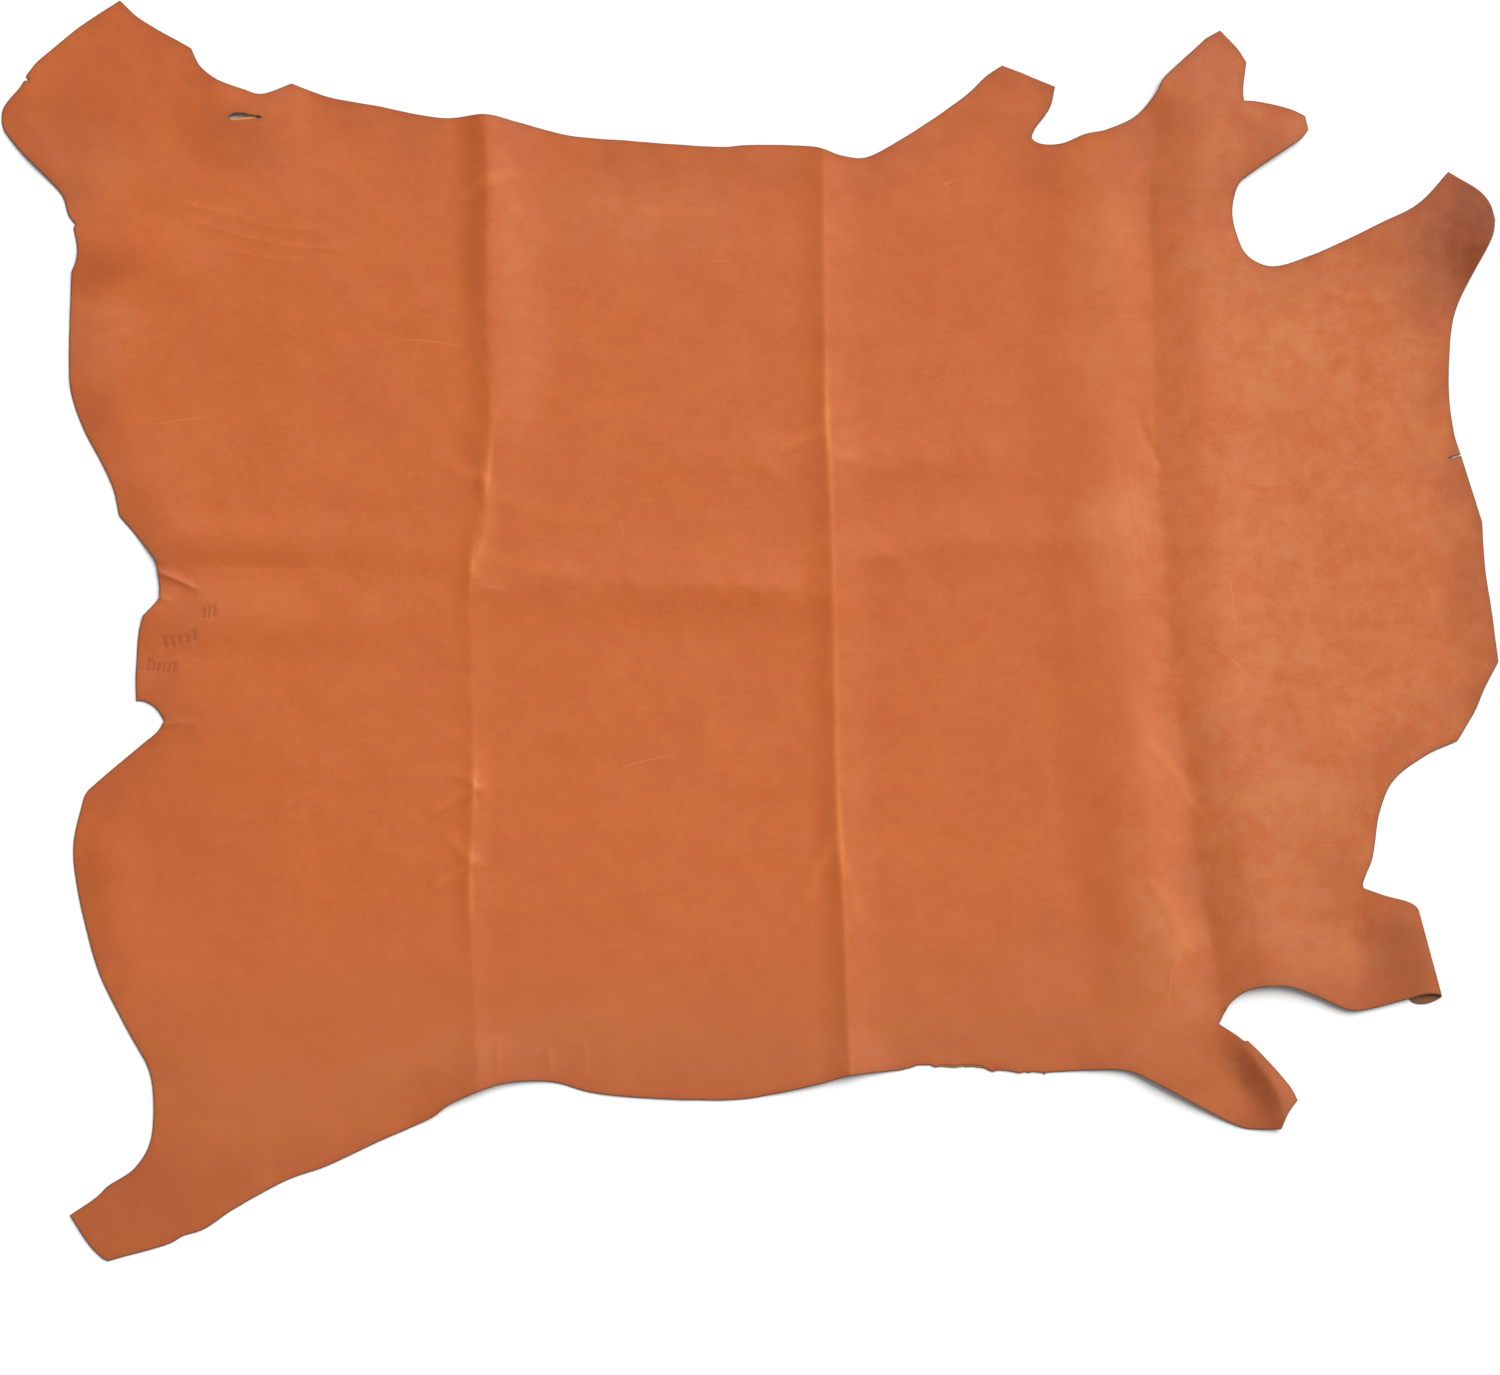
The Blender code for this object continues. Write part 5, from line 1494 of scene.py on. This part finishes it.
class Geometry(Nodes):
    """A Geometry Nodes tree with named inputs."""

    def __init__(self, name, inputs):
        tree = bpy.data.node_groups.new(name, "GeometryNodeTree")
        tree.interface.new_socket(name="Geometry", in_out="INPUT", socket_type="NodeSocketGeometry")
        for socket, kind in inputs:
            tree.interface.new_socket(name=socket, in_out="INPUT", socket_type=kind)
        tree.interface.new_socket(name="Geometry", in_out="OUTPUT", socket_type="NodeSocketGeometry")
        super().__init__(tree)
        self.taken = self.add("NodeGroupInput").outputs

    def vector(self, name):
        made = self.add("GeometryNodeInputNamedAttribute", {"Name": name}, data_type="FLOAT_VECTOR")
        return made.outputs["Attribute"]

    def random(self, low, high, seed, kind="FLOAT"):
        """A random number or vector for each point."""
        first, second = (0, 1) if kind == "FLOAT_VECTOR" else (2, 3)
        made = self.add(
            "FunctionNodeRandomValue", {first: low, second: high, "Seed": seed}, data_type=kind)
        return made.outputs[0 if kind == "FLOAT_VECTOR" else 1]

    def finish(self, instances):
        """Ends the tree: instances made real, shaded smooth and given the finish."""
        real = self.add("GeometryNodeRealizeInstances", {"Geometry": instances}).outputs[0]
        smooth = self.add("GeometryNodeSetShadeSmooth", {"Geometry": real}).outputs[0]
        worn = self.add(
            "GeometryNodeSetMaterial", {"Geometry": smooth, "Material": self.taken["Finish"]}).outputs[0]
        self.add("NodeGroupOutput", {"Geometry": worn})
        return self.tree


def fibre_tree():
    """Fine tapered fibres that stand out of a torn edge, splayed and of uneven length."""
    nodes = Geometry("torn fibres", (
        ("Spacing", "NodeSocketFloat"), ("Length", "NodeSocketFloat"),
        ("Shortest", "NodeSocketFloat"), ("Splay", "NodeSocketFloat"),
        ("Slimness", "NodeSocketFloat"), ("Seed", "NodeSocketInt"), ("Finish", "NodeSocketMaterial")))
    taken = nodes.taken
    edge = nodes.add("GeometryNodeMeshToCurve", {"Mesh": taken["Geometry"]}).outputs[0]
    points = nodes.add(
        "GeometryNodeCurveToPoints", {"Curve": edge, "Length": taken["Spacing"]},
        mode="LENGTH").outputs["Points"]
    splay = nodes.random((-1, -1, -1), (1, 1, 1), taken["Seed"], "FLOAT_VECTOR")
    wide = nodes.add("ShaderNodeVectorMath", {0: splay, "Scale": taken["Splay"]}, operation="SCALE").outputs[0]
    way = nodes.add("ShaderNodeVectorMath", {0: nodes.vector("way"), 1: wide}, operation="ADD").outputs[0]
    turn = nodes.add("FunctionNodeAlignRotationToVector", {"Vector": way}, axis="Z").outputs[0]
    length = nodes.random(taken["Shortest"], 1.0, nodes.maths("ADD", taken["Seed"], 1.0))
    size = nodes.maths("MULTIPLY", length, taken["Length"])

    bend = nodes.add("GeometryNodeCurveQuadraticBezier", {
        "Resolution": 4, "Start": (0, 0, -0.15), "Middle": (0.0, 0.0, 0.5), "End": (0.30, 0.12, 0.92)})
    along = nodes.add("GeometryNodeSplineParameter").outputs["Factor"]
    taper = nodes.span(along, 0.0, 1.0, 1.0, 0.25)
    bare = nodes.add("GeometryNodeSetCurveRadius", {"Curve": bend.outputs[0], "Radius": taper}).outputs[0]
    thin = nodes.maths("DIVIDE", 1.0, taken["Slimness"])
    round_section = nodes.add("GeometryNodeCurvePrimitiveCircle", {"Resolution": 4, "Radius": thin}).outputs[0]
    fibre = nodes.add("GeometryNodeCurveToMesh", {
        "Curve": bare, "Profile Curve": round_section, "Fill Caps": True}).outputs[0]
    placed = nodes.add("GeometryNodeInstanceOnPoints", {
        "Points": points, "Instance": fibre, "Rotation": turn, "Scale": size}).outputs[0]
    spin = nodes.random(0.0, 2 * math.pi, nodes.maths("ADD", taken["Seed"], 2.0))
    about = nodes.add("ShaderNodeCombineXYZ", {"Z": spin}).outputs[0]
    spun = nodes.add("GeometryNodeRotateInstances", {"Instances": placed, "Rotation": about}).outputs[0]
    return nodes.finish(spun)


def prick_tree():
    """Low lips round the pricks of a mark, each a ring half sunk in the leather."""
    nodes = Geometry("prick lips", (
        ("Radius", "NodeSocketFloat"), ("Lip", "NodeSocketFloat"), ("Smallest", "NodeSocketFloat"),
        ("Seed", "NodeSocketInt"), ("Finish", "NodeSocketMaterial")))
    taken = nodes.taken
    turn = nodes.add(
        "FunctionNodeAlignRotationToVector", {"Vector": nodes.vector("way")}, axis="Z").outputs[0]
    ring = nodes.add("GeometryNodeCurvePrimitiveCircle", {
        "Resolution": 12, "Radius": taken["Radius"]}).outputs[0]
    section = nodes.add("GeometryNodeCurvePrimitiveCircle", {
        "Resolution": 5, "Radius": taken["Lip"]}).outputs[0]
    lip = nodes.add("GeometryNodeCurveToMesh", {"Curve": ring, "Profile Curve": section}).outputs[0]
    size = nodes.random(taken["Smallest"], 1.0, taken["Seed"])
    points = nodes.add("GeometryNodeMeshToPoints", {"Mesh": taken["Geometry"]}).outputs[0]
    placed = nodes.add("GeometryNodeInstanceOnPoints", {
        "Points": points, "Instance": lip, "Rotation": turn, "Scale": size}).outputs[0]
    return nodes.finish(placed)


def grown(name, tree, places, ways, joined, sizes):
    """A plain mesh object that a Geometry Nodes tree makes on places, each with its way out.
    What would reach into the floor lies on it."""
    mesh = bpy.data.meshes.new(name)
    links = [(i, i + 1) for i in range(len(places) - 1)] if joined else []
    mesh.from_pydata(places, links, [])
    way = mesh.attributes.new("way", "FLOAT_VECTOR", "POINT")
    way.data.foreach_set("vector", np.asarray(ways, np.float32).ravel())
    made = bpy.data.objects.new(name, mesh)
    bpy.context.scene.collection.objects.link(made)
    modifier = made.modifiers.new(name, "NODES")
    modifier.node_group = tree
    for socket in tree.interface.items_tree:
        if socket.in_out == "INPUT" and socket.name in sizes:
            modifier[socket.identifier] = sizes[socket.name]
    bpy.context.view_layer.update()
    graph = bpy.context.evaluated_depsgraph_get()
    plain = bpy.data.meshes.new_from_object(made.evaluated_get(graph), depsgraph=graph)
    made.modifiers.remove(modifier)
    for point in plain.vertices:
        point.co.z = max(point.co.z, FLOOR_CLEARANCE)
    made.data = plain
    plain.name = name
    bpy.data.meshes.remove(mesh)
    return made


def edge_places(loop):
    """Where points of the cut edge lie, halfway down it, and the way out from each."""
    out = outward(loop)
    places = lie(loop)
    ahead = lie(loop + 0.001 * out)
    way = ahead - places
    return places, way / np.linalg.norm(way, axis=1)[:, None]


def torn_fibres(outlines, finish):
    """Fibres along the torn run, in the slit and round the worn hole."""
    outline, hole = outlines
    tree = fibre_tree()
    pieces = []
    for seed, (name, length, spacing, low, high) in enumerate(FRAYED):
        loop = hole if name == "hole_fibres" else outline
        places, ways = edge_places(loop)
        chosen = ((loop >= low) & (loop <= high)).all(1)
        pieces.append(grown(name, tree, places[chosen], ways[chosen], True, {
            "Spacing": spacing, "Length": length, "Shortest": 0.25, "Splay": 0.75,
            "Slimness": 34.0, "Seed": seed * 10, "Finish": finish}))
    return pieces


def prick_lips(marks, finish):
    """The low lips that the awl raised round each prick."""
    step = 0.001
    places = lie(marks)
    across = lie(marks + (step, 0)) - places
    up = lie(marks + (0, step)) - places
    normal = np.cross(across, up)
    normal /= np.linalg.norm(normal, axis=1)[:, None]
    return grown("prick_lips", prick_tree(), places + normal * HALF, normal, False, {
        "Radius": PRICK_RADIUS * 1.2, "Lip": 0.00016, "Smallest": 0.6, "Seed": 5, "Finish": finish})


def add_floor():
    """Plain white floor, a hair under the hide."""
    material, nodes, shader, where = new_material("white_floor")
    cloud = nodes.noise(where, 1.5, 2.0)
    colour = nodes.mix(cloud, FLOOR_WHITE, FLOOR_SHADE)
    finish_shader(nodes, shader, colour, nodes.span(cloud, 0.0, 1.0, 0.85, 0.95), cloud, 0.0001)
    half = FLOOR_SIDE / 2
    corners = [(x, y, -FLOOR_GAP) for x, y in ((-half, -half), (half, -half), (half, half), (-half, half))]
    floor = make_mesh("floor", corners, [(0, 1, 2, 3)], [material])


def add_light():
    """One large soft light from the upper belly and neck side, and an even sky."""
    lamp = bpy.data.lights.new("soft key", "SUN")
    lamp.energy = SUN_STRENGTH
    lamp.angle = SUN_ANGLE
    key = bpy.data.objects.new("soft key", lamp)
    key.rotation_euler = Vector(SUN_WAY).to_track_quat("Z", "Y").to_euler()
    bpy.context.scene.collection.objects.link(key)
    world = bpy.data.worlds.new("even sky")
    world.use_nodes = True
    nodes = Nodes(world.node_tree)
    path = nodes.add("ShaderNodeLightPath").outputs["Is Camera Ray"]
    strength = nodes.add("ShaderNodeMix", {0: path, 2: SKY_STRENGTH, 3: 0.95}).outputs[0]
    sky = nodes.add("ShaderNodeBackground", {"Color": (1, 1, 1, 1), "Strength": strength})
    nodes.add("ShaderNodeOutputWorld", {"Surface": sky.outputs[0]})
    bpy.context.scene.world = world


def add_camera():
    """Straight above the hide, as in the picture."""
    data = bpy.data.cameras.new("camera")
    data.sensor_width = SENSOR_WIDTH
    data.lens = SENSOR_WIDTH * CAMERA_PLACE[2] / PICTURE_WIDTH
    data.clip_end = 100
    camera = bpy.data.objects.new("camera", data)
    camera.location = CAMERA_PLACE
    bpy.context.scene.collection.objects.link(camera)
    bpy.context.scene.camera = camera


def main():
    """Builds the hide, its fibres and marks, the floor, the light and the camera."""
    hide, outlines, marks = leather_sheet([grain_leather(), cut_leather(), flesh_leather()])
    trims = [*torn_fibres(outlines, fibre_leather()), prick_lips(marks, pricked_leather())]
    for piece in (hide, *trims):
        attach(piece, "root")
    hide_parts("hide")
    add_floor()
    add_light()
    add_camera()
    bpy.context.scene.view_settings.view_transform = "Standard"


main()
